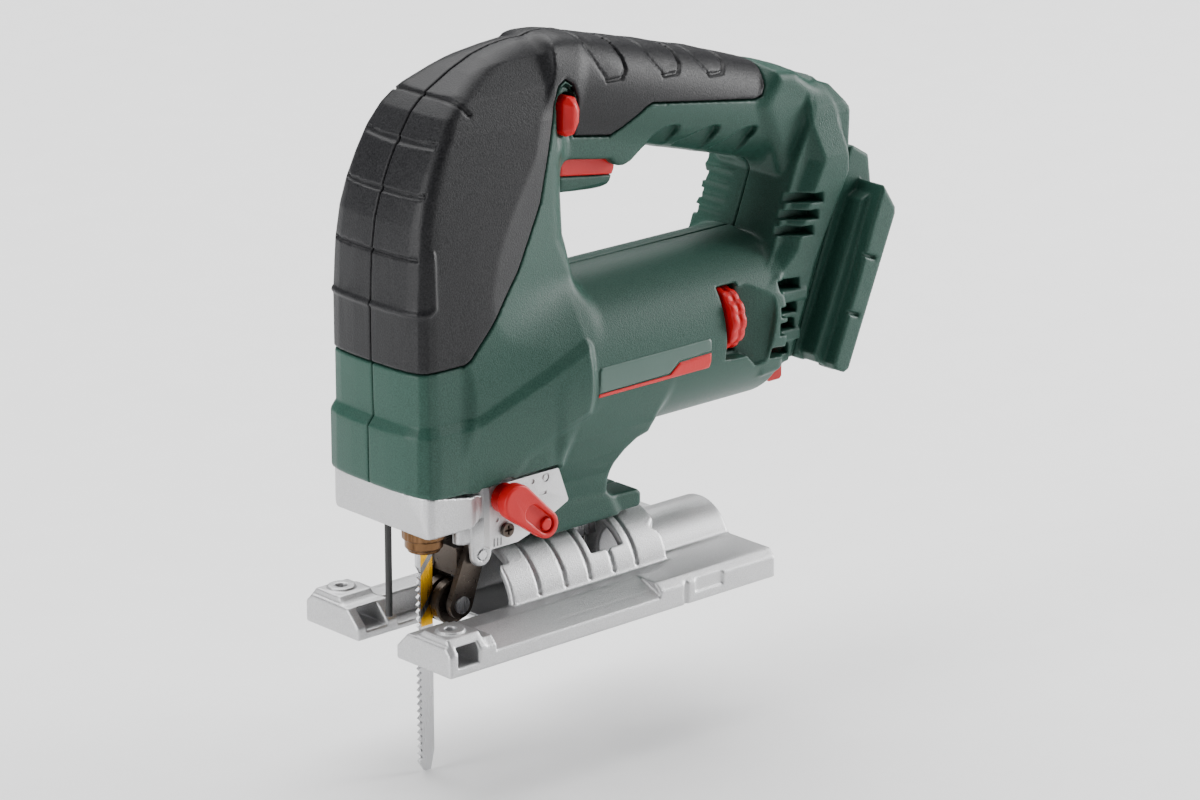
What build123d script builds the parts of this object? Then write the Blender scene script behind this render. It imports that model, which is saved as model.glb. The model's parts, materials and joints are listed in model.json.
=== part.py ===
"""Cordless D-handle jigsaw, as an assembly of its separate pieces.

Frame: the origin is the centre of the sole, the flat underside of the base plate. +X points to the rear
(battery end), -X is the cutting direction, the left side is -Y, and +Z is up. Millimetres.
"""

import os
from math import acos, cos, pi, radians, sin, tan

from build123d import *

os.makedirs("parts", exist_ok=True)

# ---- Driving dimensions ----
GAP = 0.3  # between bodies that move past each other
RUN = 0.04  # radial running clearance
SKIN = 1.5  # soft-grip layer
WALL = 3.2  # plastic wall with the soft grip

PLATE_FRONT, PLATE_REAR, PLATE_HALF = -78.5, 78.2, 40.0
DECK = 11.0  # top of the base plate
SLOT_HALF = 10.5  # blade slot between the two front feet
TILT_Z = 8.0  # bevel axis, along X
QUAD_R, QUAD_IN = 22.0, 19.0
QUAD_FRONT, QUAD_REAR = -33.5, 41.0
PORT_Z, PORT_R, PORT_IN = 6.0, 16.0, 13.0

BLADE_X = -56.5  # plunger and blade axis
STROKE = 26.0
MOTOR_Z = 92.3
BARREL_R = 32.0
MODULE, PINION_TEETH, GEAR_TEETH, SHIFT = 0.8, 10, 50, 0.45
GEAR_Z = MOTOR_Z + MODULE * (PINION_TEETH + GEAR_TEETH) / 2
GEAR_FRONT, GEAR_BACK = -33.0, -26.0
BRACKET_FRONT, BRACKET_BACK = -24.0, -16.0

PIN_X, PIN_Z = -39.5, 29.5  # pendulum pivot
ROLLER_X, ROLLER_Z, ROLLER_R = -46.4, 11.5, 8.3
LEVER_X, LEVER_Z = -40.5, 54.5
LEVER_ANGLE = -40.0

HANDLE_PITCH = 15.0
HANDLE_Z_AT_49 = 181.2
GRIP_HALF_W, GRIP_HALF_H = 17.5, 19.2
DIAL_X, DIAL_Y, DIAL_Z, DIAL_R = 65.5, -22.0, 98.5, 12.0
LOCK_X, LOCK_Z = -4.3, 185.0
CLAMP_X = 14.5  # bevel clamp screw
SLIDER_X, SLIDER_Y = 96.2, -14.0
LEFT, RIGHT = -1, 1


def side_plane(y):
    """Plane across the width at y: local x is +X, local y is +Z, and it faces -Y."""
    return Plane(origin=(0, y, 0), x_dir=(1, 0, 0), z_dir=(0, -1, 0))


def cross_plane(x):
    """Plane across the length at x: local x is +Y, local y is +Z, and it faces +X."""
    return Plane(origin=(x, 0, 0), x_dir=(0, 1, 0), z_dir=(1, 0, 0))


# ---- Housing surface ----
def nose_form(inset):
    """Front column: side outline, rounded in plan and narrowing upwards."""
    half = 27.0
    with BuildPart() as form:
        with BuildSketch(side_plane(0)):
            with BuildLine():
                Line((-79.7, 64.5), (-79.3, 140))
                ThreePointArc((-79.3, 140), (-73.2, 168.8), (-54, 198.2))
                ThreePointArc((-54, 198.2), (-34, 208), (-8, 212))
                Polyline((-8, 212), (4, 209), (0, 190), (0, 92), (-12.5, 80), (-12.5, 59.5))
                Polyline((-12.5, 59.5), (-54, 59.5), (-79.7, 64.5))
            make_face()
            if inset:
                offset(amount=-inset)
        extrude(amount=half + 1, both=True)
        # slim above the motor barrel, nearly parallel beside it
        with BuildPart(mode=Mode.INTERSECT):
            for rear_half, height in ((17.5, 180), (26.2, 64 - inset)):
                with BuildSketch(Plane.XY.offset(40)) as plan:
                    with BuildLine():
                        ThreePointArc((-76, -half), (-79.8, 0), (-76, half))
                        Polyline((-76, half), (-52, half), (0.5, rear_half))
                        Polyline((0.5, rear_half), (0.5, -rear_half), (-52, -half), (-76, -half))
                    make_face()
                    fillet(plan.vertices(), 6)
                    if inset:
                        offset(amount=-inset)
                extrude(amount=height)
        with BuildSketch(cross_plane(-90)):
            with BuildLine():
                Polyline((-21, 185), (-25.3, 140), (-25.6, 88), (-27, 86), (-27, 40), (27, 40))
                Polyline((27, 40), (27, 86), (25.6, 88), (25.3, 140), (21, 185))
                ThreePointArc((21, 185), (15, 205), (0, 212.4))
                ThreePointArc((0, 212.4), (-15, 205), (-21, 185))
            make_face()
            if inset:
                offset(amount=-inset)
        extrude(amount=110, mode=Mode.INTERSECT)
    return form.part


def stem_form(inset):
    """Neck under the barrel, with the flange that sits on the bevel quadrant."""
    with BuildPart() as form:
        with BuildSketch(side_plane(0)):
            with BuildLine():
                Polyline((-12.5, 82), (-12.7, 30.4), (35, 30.4), (36.5, 32), (36.5, 36), (20, 38.5))
                Line((20, 38.5), (19, 48))
                ThreePointArc((19, 48), (21, 57), (30, 62.5))
                Polyline((30, 62.5), (30, 82), (-12.5, 82))
            make_face()
            if inset:
                offset(amount=-inset)
        extrude(amount=30, both=True)
        with BuildSketch(cross_plane(-20)):
            Polygon(
                (-12.5, 29), (12.5, 29), (13, 42), (22, 62), (27, 84), (-27, 84), (-22, 62), (-13, 42),
                align=None,
            )
            if inset:
                offset(amount=-inset)
        extrude(amount=70, mode=Mode.INTERSECT)
    return form.part


def rear_form(inset):
    """Rear column: a narrow neck below the handle, and a wider frame along the battery shoe."""
    with BuildPart() as form:
        with BuildSketch(side_plane(0)):
            Polygon(
                (118, 178.5), (113.6, 150.6), (100, 128), (85, 107), (77, 98), (75.5, 86), (77, 77),
                (84, 74.3), (103.2, 75.6), (131.2, 150.5), (132, 167), (127, 174.3),
                align=None,
            )
            if inset:
                offset(amount=-inset)
        extrude(amount=30, both=True)
        with BuildSketch(cross_plane(60)):
            Polygon(
                (-27.5, 60), (27.5, 60), (27.5, 115), (25, 145), (21, 166), (12, 183), (0, 186),
                (-12, 183), (-21, 166), (-25, 145), (-27.5, 115),
                align=None,
            )
            if inset:
                offset(amount=-inset)
        extrude(amount=90, mode=Mode.INTERSECT)
        with BuildSketch(side_plane(0)):
            Polygon(
                (92, 172), (100.5, 155), (102, 143), (95, 124.5), (84, 110), (100, 88), (122, 128),
                (131, 150.5), (130, 168), (108, 183.2),
                align=None,
            )
            if inset:
                offset(amount=-inset)
        extrude(amount=19 - inset, both=True)
    return form.part


def housing_form(inset):
    """Surface of both housing halves together, moved inwards by inset."""
    pitch = radians(HANDLE_PITCH)
    handle_plane = Plane(
        origin=(-12, 0, HANDLE_Z_AT_49 + 61 * tan(pitch)),
        x_dir=(0, 1, 0),
        z_dir=(cos(pitch), 0, -sin(pitch)),
    )
    with BuildPart() as form:
        add(nose_form(inset))
        add(stem_form(inset))
        add(rear_form(inset))
        with BuildSketch(cross_plane(-22 + inset).shift_origin((-22 + inset, 0, MOTOR_Z))):
            Circle(BARREL_R - inset)
        extrude(amount=114 - 2 * inset)
        with BuildSketch(handle_plane):
            Ellipse(GRIP_HALF_W - inset, GRIP_HALF_H - inset)
        extrude(amount=138)
        with BuildSketch(side_plane(0)):
            Polygon(
                (-3, 180), (-3, 167.3), (21.5, 163.3), (25, 160.2), (31, 160.2), (40, 165.5), (52, 175),
                align=None,
            )
            if inset:
                offset(amount=-inset)
        extrude(amount=12.5 - inset, both=True)
        # the handle's front end keeps below the crest line
        with BuildSketch(side_plane(0)):
            Polygon(
                (-30, 212 - inset), (-0.3, 211 - inset), (11, 209.3 - inset), (31, 205.8 - inset),
                (40, 230), (-30, 230),
                align=None,
            )
        extrude(amount=30, both=True, mode=Mode.SUBTRACT)
    return form.part


outer_form = housing_form(0)
under_grip_form = housing_form(SKIN)
cavity_form = housing_form(WALL)

GRIP_OUTLINE = [
    (-90, 106.5), (-59, 106.5), (-46, 118), (-31.5, 135), (-19.5, 156.5), (-12.3, 184), (-11, 190),
    (-5, 197.5), (1, 190), (4, 174.9), (20.7, 172.2), (34.6, 181.3), (88, 174.8), (91.5, 175.6),
    (94, 178.6), (97, 192), (97, 232), (-90, 232),
]
SCREWS = [(-68, 116), (-68, 160), (-20, 200), (0, 56), (84, 82), (112, 164), (60, 66), (-6, 128)]
UPPER_VENTS = [(105.8, 136.2), (103.4, 130.2), (100.9, 124.6)]
LOWER_VENTS = [(97, 105.7), (95.8, 96.8), (94.7, 90.7), (91.4, 82)]


def grip_layer(side):
    """Soft overmould on the nose and on top of the handle, one side of the seam."""
    with BuildPart() as layer:
        add(outer_form)
        add(under_grip_form, mode=Mode.SUBTRACT)
        with BuildSketch(side_plane(0)):
            Polygon(*GRIP_OUTLINE, align=None)
        extrude(amount=40, both=True, mode=Mode.INTERSECT)
        with Locations((0, side * 50.05, 150)):
            Box(400, 100, 300, mode=Mode.INTERSECT)
    return layer.part


def housing_half(side, grip):
    """One clamshell half: wall, screw posts, motor ribs and its openings."""
    with BuildPart() as half:
        add(outer_form)
        add(cavity_form, mode=Mode.SUBTRACT)
        for rib_x, rib_r in [(8, 26), (28, 26), (47, 9.5)]:
            with BuildSketch(cross_plane(rib_x).shift_origin((rib_x, 0, MOTOR_Z))):
                Circle(BARREL_R - WALL + 1)
                Circle(rib_r, mode=Mode.SUBTRACT)
            extrude(amount=3)
        for post_x, post_z in SCREWS:
            with BuildSketch(side_plane(22)):
                with Locations((post_x, post_z)):
                    Circle(3.6)
            extrude(amount=44)
        with Locations((CLAMP_X, 0, 41)):
            Cylinder(6.5, 20)
        add(outer_form, mode=Mode.INTERSECT)
        with Locations((CLAMP_X, 0, 40)):
            Cylinder(2.6, 24, mode=Mode.SUBTRACT)
        for post_x, post_z in SCREWS:
            with BuildSketch(side_plane(8.1)):
                with Locations((post_x, post_z)):
                    Circle(1.6)
            extrude(amount=20, mode=Mode.SUBTRACT)
            with BuildSketch(side_plane(40)):
                with Locations((post_x, post_z)):
                    Circle(3.0)
            extrude(amount=32, mode=Mode.SUBTRACT)
        # underside of the nose is open to the gear case
        with Locations((-53.5, 0, 62)):
            Box(41, 42, 16, mode=Mode.SUBTRACT)
        with Locations((-24, 0, 62)):
            Box(18, 34.6, 16, mode=Mode.SUBTRACT)
        # room for the teeth of the crank gear
        with Locations((-30, 0, GEAR_Z)):
            Box(9.5, 42, 43, mode=Mode.SUBTRACT)
        # room for the metal gear bracket
        with Locations((-20, 0, 107)):
            Box(9, 34.4, 92, mode=Mode.SUBTRACT)
        # trigger mouth
        with Locations((14.5, 0, 160)):
            Box(28.5, 16.9, 32, mode=Mode.SUBTRACT)
        # lock button passage
        with Locations((LOCK_X, 0, LOCK_Z)):
            Box(8.6, 60, 15.6, mode=Mode.SUBTRACT)
        for vents, vent_length in ((UPPER_VENTS, 16), (LOWER_VENTS, 10)):
            for vent_x, vent_z in vents:
                with Locations((vent_x, side * 27, vent_z)):
                    Box(vent_length, 14, 3.4, mode=Mode.SUBTRACT)
        if side == LEFT:
            # room for the hub of the pendulum lever
            with Locations(Plane.XZ.offset(21)):
                with Locations((LEVER_X, LEVER_Z)):
                    Cylinder(9.5, 20, align=(Align.CENTER, Align.CENTER, Align.MIN), mode=Mode.SUBTRACT)
            # recess around the dial, its floor, and the dial's slot
            with Locations((70.5, -32, 97)):
                Box(18, 16, 29, mode=Mode.SUBTRACT)
            with Locations((70.5, -22.7, 97)):
                Box(19, 2.6, 31)
            with Locations((DIAL_X, -30, DIAL_Z)):
                Box(9, 24, 25.5, mode=Mode.SUBTRACT)
            with Locations((SLIDER_X, SLIDER_Y, 76)):
                Box(3.6, 13, 10, mode=Mode.SUBTRACT)
        add(grip, mode=Mode.SUBTRACT)
        with Locations((0, side * 50.05, 150)):
            Box(400, 100, 300, mode=Mode.INTERSECT)
    return half.part


def largest(shape):
    """The main solid of a cut shape, without the crumbs that a cut leaves."""
    return shape.solids().sort_by(SortBy.VOLUME)[-1]


grip_parts = {side: grip_layer(side) for side in (LEFT, RIGHT)}
with BuildPart() as grip_left:
    add(largest(grip_parts[LEFT]))
grip_left.part.label = "grip_left"
export_step(grip_left.part, "parts/grip_left.step")

with BuildPart() as grip_right:
    add(largest(grip_parts[RIGHT]))
grip_right.part.label = "grip_right"
export_step(grip_right.part, "parts/grip_right.step")

with BuildPart() as housing_left:
    add(largest(housing_half(LEFT, grip_left.part)))
housing_left.part.label = "housing_left"
export_step(housing_left.part, "parts/housing_left.step")

with BuildPart() as housing_right:
    add(largest(housing_half(RIGHT, grip_right.part)))
housing_right.part.label = "housing_right"
export_step(housing_right.part, "parts/housing_right.step")

# Screws that hold the halves together, driven from the right side.
with BuildPart() as housing_screws:
    for screw_x, screw_z in SCREWS:
        with BuildSketch(side_plane(8)):
            with Locations((screw_x, screw_z)):
                Circle(1.5)
        extrude(amount=19)
        with BuildSketch(side_plane(10.4)):
            with Locations((screw_x, screw_z)):
                Circle(2.8)
                RegularPolygon(1.2, 6, mode=Mode.SUBTRACT)
        extrude(amount=2.4)
housing_screws.part.label = "housing_screws"
export_step(housing_screws.part, "parts/housing_screws.step")

# ---- Battery shoe ----
SHOE_LEAN = 22.4  # the battery slides along this slope


with BuildPart() as battery_shoe:
    with BuildSketch(side_plane(0)):
        Polygon(
            (103.4, 75.6), (117, 69.5), (143.6, 131), (141.5, 146), (133.5, 150.8), (131.4, 150.5),
            align=None,
        )
    extrude(amount=24, both=True)
    with BuildSketch(side_plane(0)):
        Polygon((106.6, 74.1), (117, 69.5), (143.2, 131), (137.5, 140), (130.5, 145), align=None)
    extrude(amount=31, both=True)
    with BuildSketch(side_plane(0)):
        Polygon((111, 72.1), (117, 69.5), (142.6, 130.5), (137, 139.5), (133, 141), align=None)
    extrude(amount=36, both=True)
    # rail channel for the battery, open at the bottom
    rail_plane = Plane(
        origin=(117, 0, 69.5),
        x_dir=(0, 1, 0),
        z_dir=(sin(radians(SHOE_LEAN)), 0, cos(radians(SHOE_LEAN))),
    )
    with BuildSketch(rail_plane.offset(-12)):
        with Locations((0, 0)):
            Rectangle(48, 14)
        with Locations((0, 5.5)):
            Rectangle(57, 5)
    extrude(amount=66, mode=Mode.SUBTRACT)
    # pocket of the terminal block
    with BuildSketch(rail_plane.offset(25.9)):
        with Locations((0, 12)):
            Rectangle(30.2, 12)
    extrude(amount=20.2, mode=Mode.SUBTRACT)
battery_shoe.part.label = "battery_shoe"
export_step(battery_shoe.part, "parts/battery_shoe.step")

# Block behind the shoe with the blades that meet the battery.
with BuildPart() as terminal_block:
    with BuildSketch(rail_plane.offset(26)):
        with Locations((0, 11)):
            Rectangle(30, 7.8)
    extrude(amount=20)
    with BuildSketch(rail_plane.offset(28)):
        with GridLocations(8, 1, 4, 1):
            with Locations((0, 10)):
                Rectangle(0.8, 6)
    extrude(amount=14, mode=Mode.SUBTRACT)
terminal_block.part.label = "terminal_block"
export_step(terminal_block.part, "parts/terminal_block.step")

with BuildPart() as battery_contacts:
    with BuildSketch(rail_plane.offset(28)):
        with GridLocations(8, 1, 4, 1):
            with Locations((0, 7)):
                Rectangle(0.8, 12)
    extrude(amount=14)
battery_contacts.part.label = "battery_contacts"
export_step(battery_contacts.part, "parts/battery_contacts.step")

# ---- Gear case: one casting, a block below the nose and a bracket inside the housing ----
SCALE_OUTLINE = [(-46, 59.2), (-13.6, 59.2), (-8.8, 46), (-27.6, 37.6), (-33, 36), (-46, 36)]
BEARING_R, BUSH_R, ROD_R, AXLE_R = 9.5, 7.0, 4.5, 4.0
GUARD_X, GUARD_R = -72.8, 1.25
SCALE_SCREW = (-38.5, 42)

with BuildPart() as gear_case:
    with BuildSketch(side_plane(0)):
        Polygon(
            (-79.4, 64.1), (-75.8, 47), (-52, 47), (-49, 50), (-49, 59.2), (-54, 59.2),
            align=None,
        )
    extrude(amount=26, both=True)
    with BuildSketch(Plane.XY.offset(40)) as block_plan:
        with BuildLine():
            ThreePointArc((-76, -26), (-79.6, 0), (-76, 26))
            Polyline((-76, 26), (-48, 26), (-48, -26), (-76, -26))
        make_face()
        fillet(block_plan.vertices().group_by(Axis.X)[0], 5)
    extrude(amount=40, mode=Mode.INTERSECT)
    with Locations((-41.5, 0, 54)):
        Box(17, 41, 14)
    with Locations((-57.4, 0, 55.25)):
        Box(22.2, 26, 11.5, mode=Mode.SUBTRACT)
    with Locations((-44.9, 0, 67)):
        Box(57.8, 19, 12)
    with Locations(((BRACKET_FRONT + BRACKET_BACK) / 2, 0, 106)):
        Box(BRACKET_BACK - BRACKET_FRONT, 34, 92)
    with Locations((-41, 0, 146)):
        Box(50, 18, 12)
    for lug_side in (LEFT, RIGHT):
        with BuildSketch(side_plane(lug_side * 10.65)):
            Polygon((-45, 47.2), (-43.9, PIN_Z), (-35.1, PIN_Z), (-34.2, 47.2), align=None)
            with Locations((PIN_X, PIN_Z)):
                Circle(4.4)
        extrude(amount=1.35, both=True)
    with BuildSketch(side_plane(23.5)):
        Polygon(*SCALE_OUTLINE, align=None)
    extrude(amount=3.1)
    with Locations((-45.8, -8, 41)):
        Cylinder(3.2, 13)
    # seats of the two plunger bushes and the passage of the blade clamp
    with Locations((BLADE_X, 0, 67), (BLADE_X, 0, 146)):
        Cylinder(BUSH_R, 14, mode=Mode.SUBTRACT)
    with Locations((BLADE_X, 0, 48)):
        Cylinder(9.6, 6, mode=Mode.SUBTRACT)
    with BuildSketch(cross_plane(BRACKET_FRONT - 1)):
        with Locations((0, MOTOR_Z)):
            Circle(BEARING_R)
        with Locations((0, GEAR_Z)):
            Circle(AXLE_R)
    extrude(amount=10, mode=Mode.SUBTRACT)
    with BuildSketch(side_plane(-4.5)):
        with Locations((LEVER_X, LEVER_Z)):
            Circle(3 + RUN)
    extrude(amount=20, mode=Mode.SUBTRACT)
    with BuildSketch(side_plane(15)):
        with Locations((PIN_X, PIN_Z)):
            Circle(2)
    extrude(amount=30, mode=Mode.SUBTRACT)
    with BuildSketch(side_plane(-9)):
        with Locations(SCALE_SCREW):
            Circle(1.5)
    extrude(amount=20, mode=Mode.SUBTRACT)
    with Locations((GUARD_X, 0, 53)):
        Cylinder(GUARD_R, 14, mode=Mode.SUBTRACT)
gear_case.part.label = "gear_case"
export_step(gear_case.part, "parts/gear_case.step")

# Plate with the positions of the pendulum lever, on the left of the gear case.
with BuildPart() as scale_plate:
    with BuildSketch(side_plane(-20.5)) as scale_face:
        Polygon(*SCALE_OUTLINE, align=None)
        fillet(scale_face.vertices(), 1)
        with Locations((LEVER_X, LEVER_Z)):
            Circle(3.2, mode=Mode.SUBTRACT)
        with Locations(SCALE_SCREW):
            Circle(1.6, mode=Mode.SUBTRACT)
    extrude(amount=3)
    with BuildSketch(side_plane(-23.1)):
        for mark_x, mark_z in [(-25.8, 56.8), (-32.2, 56.1), (-42.6, 46.5)]:
            with Locations((mark_x, mark_z)):
                Circle(0.9)
        with Locations((-19.7, 56.9)):
            Circle(1.7)
            Circle(1.0, mode=Mode.SUBTRACT)
        with Locations((-21, 51.4)):
            Rectangle(3.4, 1.2)
        with Locations((-44, 38.2), (-42.4, 38.2), (-40.8, 38.2)):
            Rectangle(0.7, 3)
    extrude(amount=1, mode=Mode.SUBTRACT)
scale_plate.part.label = "scale_plate"
export_step(scale_plate.part, "parts/scale_plate.step")

with BuildPart() as scale_screw:
    with BuildSketch(side_plane(-14)):
        with Locations(SCALE_SCREW):
            Circle(1.5)
    extrude(amount=9.5)
    with BuildSketch(side_plane(-23.5)):
        with Locations(SCALE_SCREW):
            Circle(2.6)
    extrude(amount=1.6)
    with BuildSketch(side_plane(-24.2)):
        with Locations(SCALE_SCREW):
            Rectangle(3.4, 0.7)
            Rectangle(0.7, 3.4)
    extrude(amount=1, mode=Mode.SUBTRACT)
scale_screw.part.label = "scale_screw"
export_step(scale_screw.part, "parts/scale_screw.step")

with BuildPart() as wire_guard:
    with Locations((GUARD_X, 0, 34.7)):
        Cylinder(GUARD_R, 46.6)
    chamfer(wire_guard.faces().sort_by(Axis.Z)[0].edges(), 0.4)
wire_guard.part.label = "wire_guard"
export_step(wire_guard.part, "parts/wire_guard.step")

# ---- Base plate with the bevel quadrant ----
FENCE_X, FENCE_W, FENCE_Z, FENCE_H = -70.0, 9.6, 6.9, 7.0
FOOT_Y = 30.0
PLATE_MID = (PLATE_FRONT + PLATE_REAR) / 2

with BuildPart() as base_plate:
    with BuildSketch():
        with Locations((PLATE_MID, 0)):
            RectangleRounded(PLATE_REAR - PLATE_FRONT, 2 * PLATE_HALF, 3)
    extrude(amount=DECK)
    for edge_side in (LEFT, RIGHT):
        with BuildSketch(cross_plane(PLATE_FRONT - 1)):
            Polygon(
                (edge_side * 37, DECK), (edge_side * 37, 12), (edge_side * 41, 12), (edge_side * 41, 7),
                align=None,
            )
        extrude(amount=160, mode=Mode.SUBTRACT)
        # raised foot over the fence channel, and its screw boss
        with BuildSketch(cross_plane(-77)):
            Polygon(
                (edge_side * 20, 5), (edge_side * 20, 11), (edge_side * 23, 13.5), (edge_side * 36, 13.5),
                (edge_side * 39.2, 9), (edge_side * 39.2, 5),
                align=None,
            )
        extrude(amount=15)
        with Locations((FENCE_X, edge_side * FOOT_Y, 12.5)):
            Cylinder(5, 4)
        # sloping panel beside the quadrant
        with BuildSketch(cross_plane(-57)):
            Polygon(
                (edge_side * 29, DECK), (edge_side * 29, 12), (edge_side * 41, 12), (edge_side * 41, 6.64),
                align=None,
            )
        extrude(amount=76, mode=Mode.SUBTRACT)
    with BuildSketch(cross_plane(QUAD_FRONT)):
        with Locations((0, TILT_Z)):
            Circle(QUAD_R)
        with Locations((0, 45)):
            Rectangle(80, 80, mode=Mode.INTERSECT)
    extrude(amount=QUAD_REAR - QUAD_FRONT)
    with BuildSketch(cross_plane(QUAD_REAR)):
        with Locations((0, PORT_Z)):
            Circle(PORT_R)
        with Locations((0, 44)):
            Rectangle(80, 80, mode=Mode.INTERSECT)
    extrude(amount=PLATE_REAR - QUAD_REAR)
    # dust tunnel and port, both with a flat floor
    with BuildSketch(cross_plane(QUAD_FRONT - 1)):
        with Locations((0, TILT_Z)):
            Circle(QUAD_IN)
        with Locations((0, 42.5)):
            Rectangle(80, 80, mode=Mode.INTERSECT)
    extrude(amount=QUAD_REAR - QUAD_FRONT - 2, mode=Mode.SUBTRACT)
    with BuildSketch(cross_plane(QUAD_REAR - 5)):
        with Locations((0, PORT_Z)):
            Circle(PORT_IN)
        with Locations((0, 42.5)):
            Rectangle(80, 80, mode=Mode.INTERSECT)
    extrude(amount=50, mode=Mode.SUBTRACT)
    # window for the bevel clamp, and the front notch that clears the pendulum
    with Locations((CLAMP_X, 0, 26)):
        Box(15, 35.4, 20, mode=Mode.SUBTRACT)
    with Locations((QUAD_FRONT + 2.5, 0, 25)):
        Box(8, 35, 20, mode=Mode.SUBTRACT)
    for groove_x in (-20.5, -8.2, 3.6, 15.1, 26.4):
        with BuildSketch(cross_plane(groove_x - 0.6)):
            with Locations((0, TILT_Z)):
                Circle(QUAD_R + 1)
                Circle(QUAD_R - 0.8, mode=Mode.SUBTRACT)
            with Locations((0, 61.5)):
                Rectangle(80, 100, mode=Mode.INTERSECT)
        extrude(amount=1.2, mode=Mode.SUBTRACT)
    for notch_side in (LEFT, RIGHT):
        with BuildSketch(Plane.XY.offset(18)):
            Polygon(
                (QUAD_REAR + 0.1, notch_side * 13.5), (QUAD_REAR + 0.1, notch_side * 18),
                (QUAD_REAR - 3, notch_side * 15.8),
                align=None,
            )
        extrude(amount=14, mode=Mode.SUBTRACT)
    # blade slot, open at the front, its edges sloped to clear the pendulum at 45 degrees
    with Locations(((PLATE_FRONT + QUAD_FRONT) / 2 - 1, 0, 7)):
        Box(QUAD_FRONT - PLATE_FRONT + 2, 2 * SLOT_HALF, 20, mode=Mode.SUBTRACT)
    for edge_side in (LEFT, RIGHT):
        with BuildSketch(cross_plane(PLATE_FRONT - 1)):
            Polygon(
                (edge_side * 10.4, 4.9), (edge_side * 10.4, 12), (edge_side * 17.5, 12),
                align=None,
            )
        extrude(amount=QUAD_FRONT - PLATE_FRONT + 1, mode=Mode.SUBTRACT)
        with Locations((FENCE_X, edge_side * 30, FENCE_Z)):
            Box(FENCE_W, 44, FENCE_H, mode=Mode.SUBTRACT)
        with Locations((FENCE_X, edge_side * FOOT_Y, 12)):
            Cylinder(2.1, 8, mode=Mode.SUBTRACT)
        with Locations((22, edge_side * 29, 3.5)):
            Box(90, 12, 7, mode=Mode.SUBTRACT)
        with Locations((33.8, edge_side * PLATE_HALF, 4)):
            Box(1.4, 1.6, 20, mode=Mode.SUBTRACT)
        with Locations((45.2, edge_side * PLATE_HALF, 7)):
            Box(13.5, 1, 6, mode=Mode.SUBTRACT)
base_plate.part.label = "base_plate"
export_step(base_plate.part, "parts/base_plate.step")

# Bevel clamp: the screw draws the shoe up against the inside of the quadrant.
with BuildPart() as clamp_shoe:
    with BuildSketch(cross_plane(CLAMP_X - 7)):
        with Locations((0, TILT_Z)):
            Circle(QUAD_IN - GAP)
            Circle(14.5, mode=Mode.SUBTRACT)
        with Locations((0, 30)):
            Rectangle(9, 20, mode=Mode.INTERSECT)
    extrude(amount=14)
    with Locations((CLAMP_X, 0, 25)):
        Cylinder(2.6, 12, mode=Mode.SUBTRACT)
clamp_shoe.part.label = "clamp_shoe"
export_step(clamp_shoe.part, "parts/clamp_shoe.step")

with BuildPart() as clamp_screw:
    with Locations((CLAMP_X, 0, 35.65)):
        Cylinder(2.45, 28.3)
    with BuildSketch(Plane.XY.offset(17.2)):
        with Locations((CLAMP_X, 0)):
            Circle(4.2)
    extrude(amount=4.3)
    with BuildSketch(Plane.XY.offset(17)):
        with Locations((CLAMP_X, 0)):
            RegularPolygon(2.3, 6)
    extrude(amount=2.5, mode=Mode.SUBTRACT)
clamp_screw.part.label = "clamp_screw"
export_step(clamp_screw.part, "parts/clamp_screw.step")


# ---- Gears and motor ----
def gear_outline(teeth, shift, backlash=0.08):
    """Points of an involute spur gear with 20 degree flanks and a tooth on local x."""
    flank = radians(20)
    pitch_r = MODULE * teeth / 2
    base_r = pitch_r * cos(flank)
    tip_r = pitch_r + MODULE * (1 + shift)
    root_r = pitch_r - MODULE * (1.25 - shift)
    thickness = MODULE * (pi / 2 + 2 * shift * tan(flank)) - backlash
    half_base = thickness / (2 * pitch_r) + tan(flank) - flank
    start_r = max(base_r, root_r)
    side = [(root_r, half_base)] if root_r < base_r else []
    for step in range(5):
        r = start_r + (tip_r - start_r) * step / 4
        lean = acos(min(1, base_r / r))
        side.append((r, half_base - tan(lean) + lean))
    points = []
    for tooth in range(teeth):
        centre = 2 * pi * tooth / teeth
        points += [(r * cos(centre - half), r * sin(centre - half)) for r, half in side]
        points += [(r * cos(centre + half), r * sin(centre + half)) for r, half in reversed(side)]
    return points


CRANK_R = STROKE / 2
YOKE_BACK = -46.5

with BuildPart() as crank_gear:
    with BuildSketch(cross_plane(GEAR_FRONT)):
        with Locations((0, GEAR_Z)):
            Polygon(*gear_outline(GEAR_TEETH, -SHIFT), align=None)
            Circle(5.5, mode=Mode.SUBTRACT)
            with PolarLocations(CRANK_R, 4, start_angle=45):
                Circle(3, mode=Mode.SUBTRACT)
    extrude(amount=GEAR_BACK - GEAR_FRONT)
    with BuildSketch(cross_plane(GEAR_FRONT)):
        with Locations((CRANK_R, GEAR_Z)):
            Circle(3.5)
    extrude(amount=GEAR_BACK - GEAR_FRONT, mode=Mode.SUBTRACT)
crank_gear.part.label = "crank_gear"
export_step(crank_gear.part, "parts/crank_gear.step")

with BuildPart() as gear_bush:
    with BuildSketch(cross_plane(GEAR_FRONT)):
        with Locations((0, GEAR_Z)):
            Circle(5.5)
            Circle(AXLE_R + RUN, mode=Mode.SUBTRACT)
    extrude(amount=GEAR_BACK - GEAR_FRONT)
gear_bush.part.label = "gear_bush"
export_step(gear_bush.part, "parts/gear_bush.step")

with BuildPart() as crank_pin:
    with BuildSketch(cross_plane(YOKE_BACK + GAP)):
        with Locations((CRANK_R, GEAR_Z)):
            Circle(3.5)
    extrude(amount=GEAR_BACK - YOKE_BACK - GAP)
crank_pin.part.label = "crank_pin"
export_step(crank_pin.part, "parts/crank_pin.step")

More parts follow.
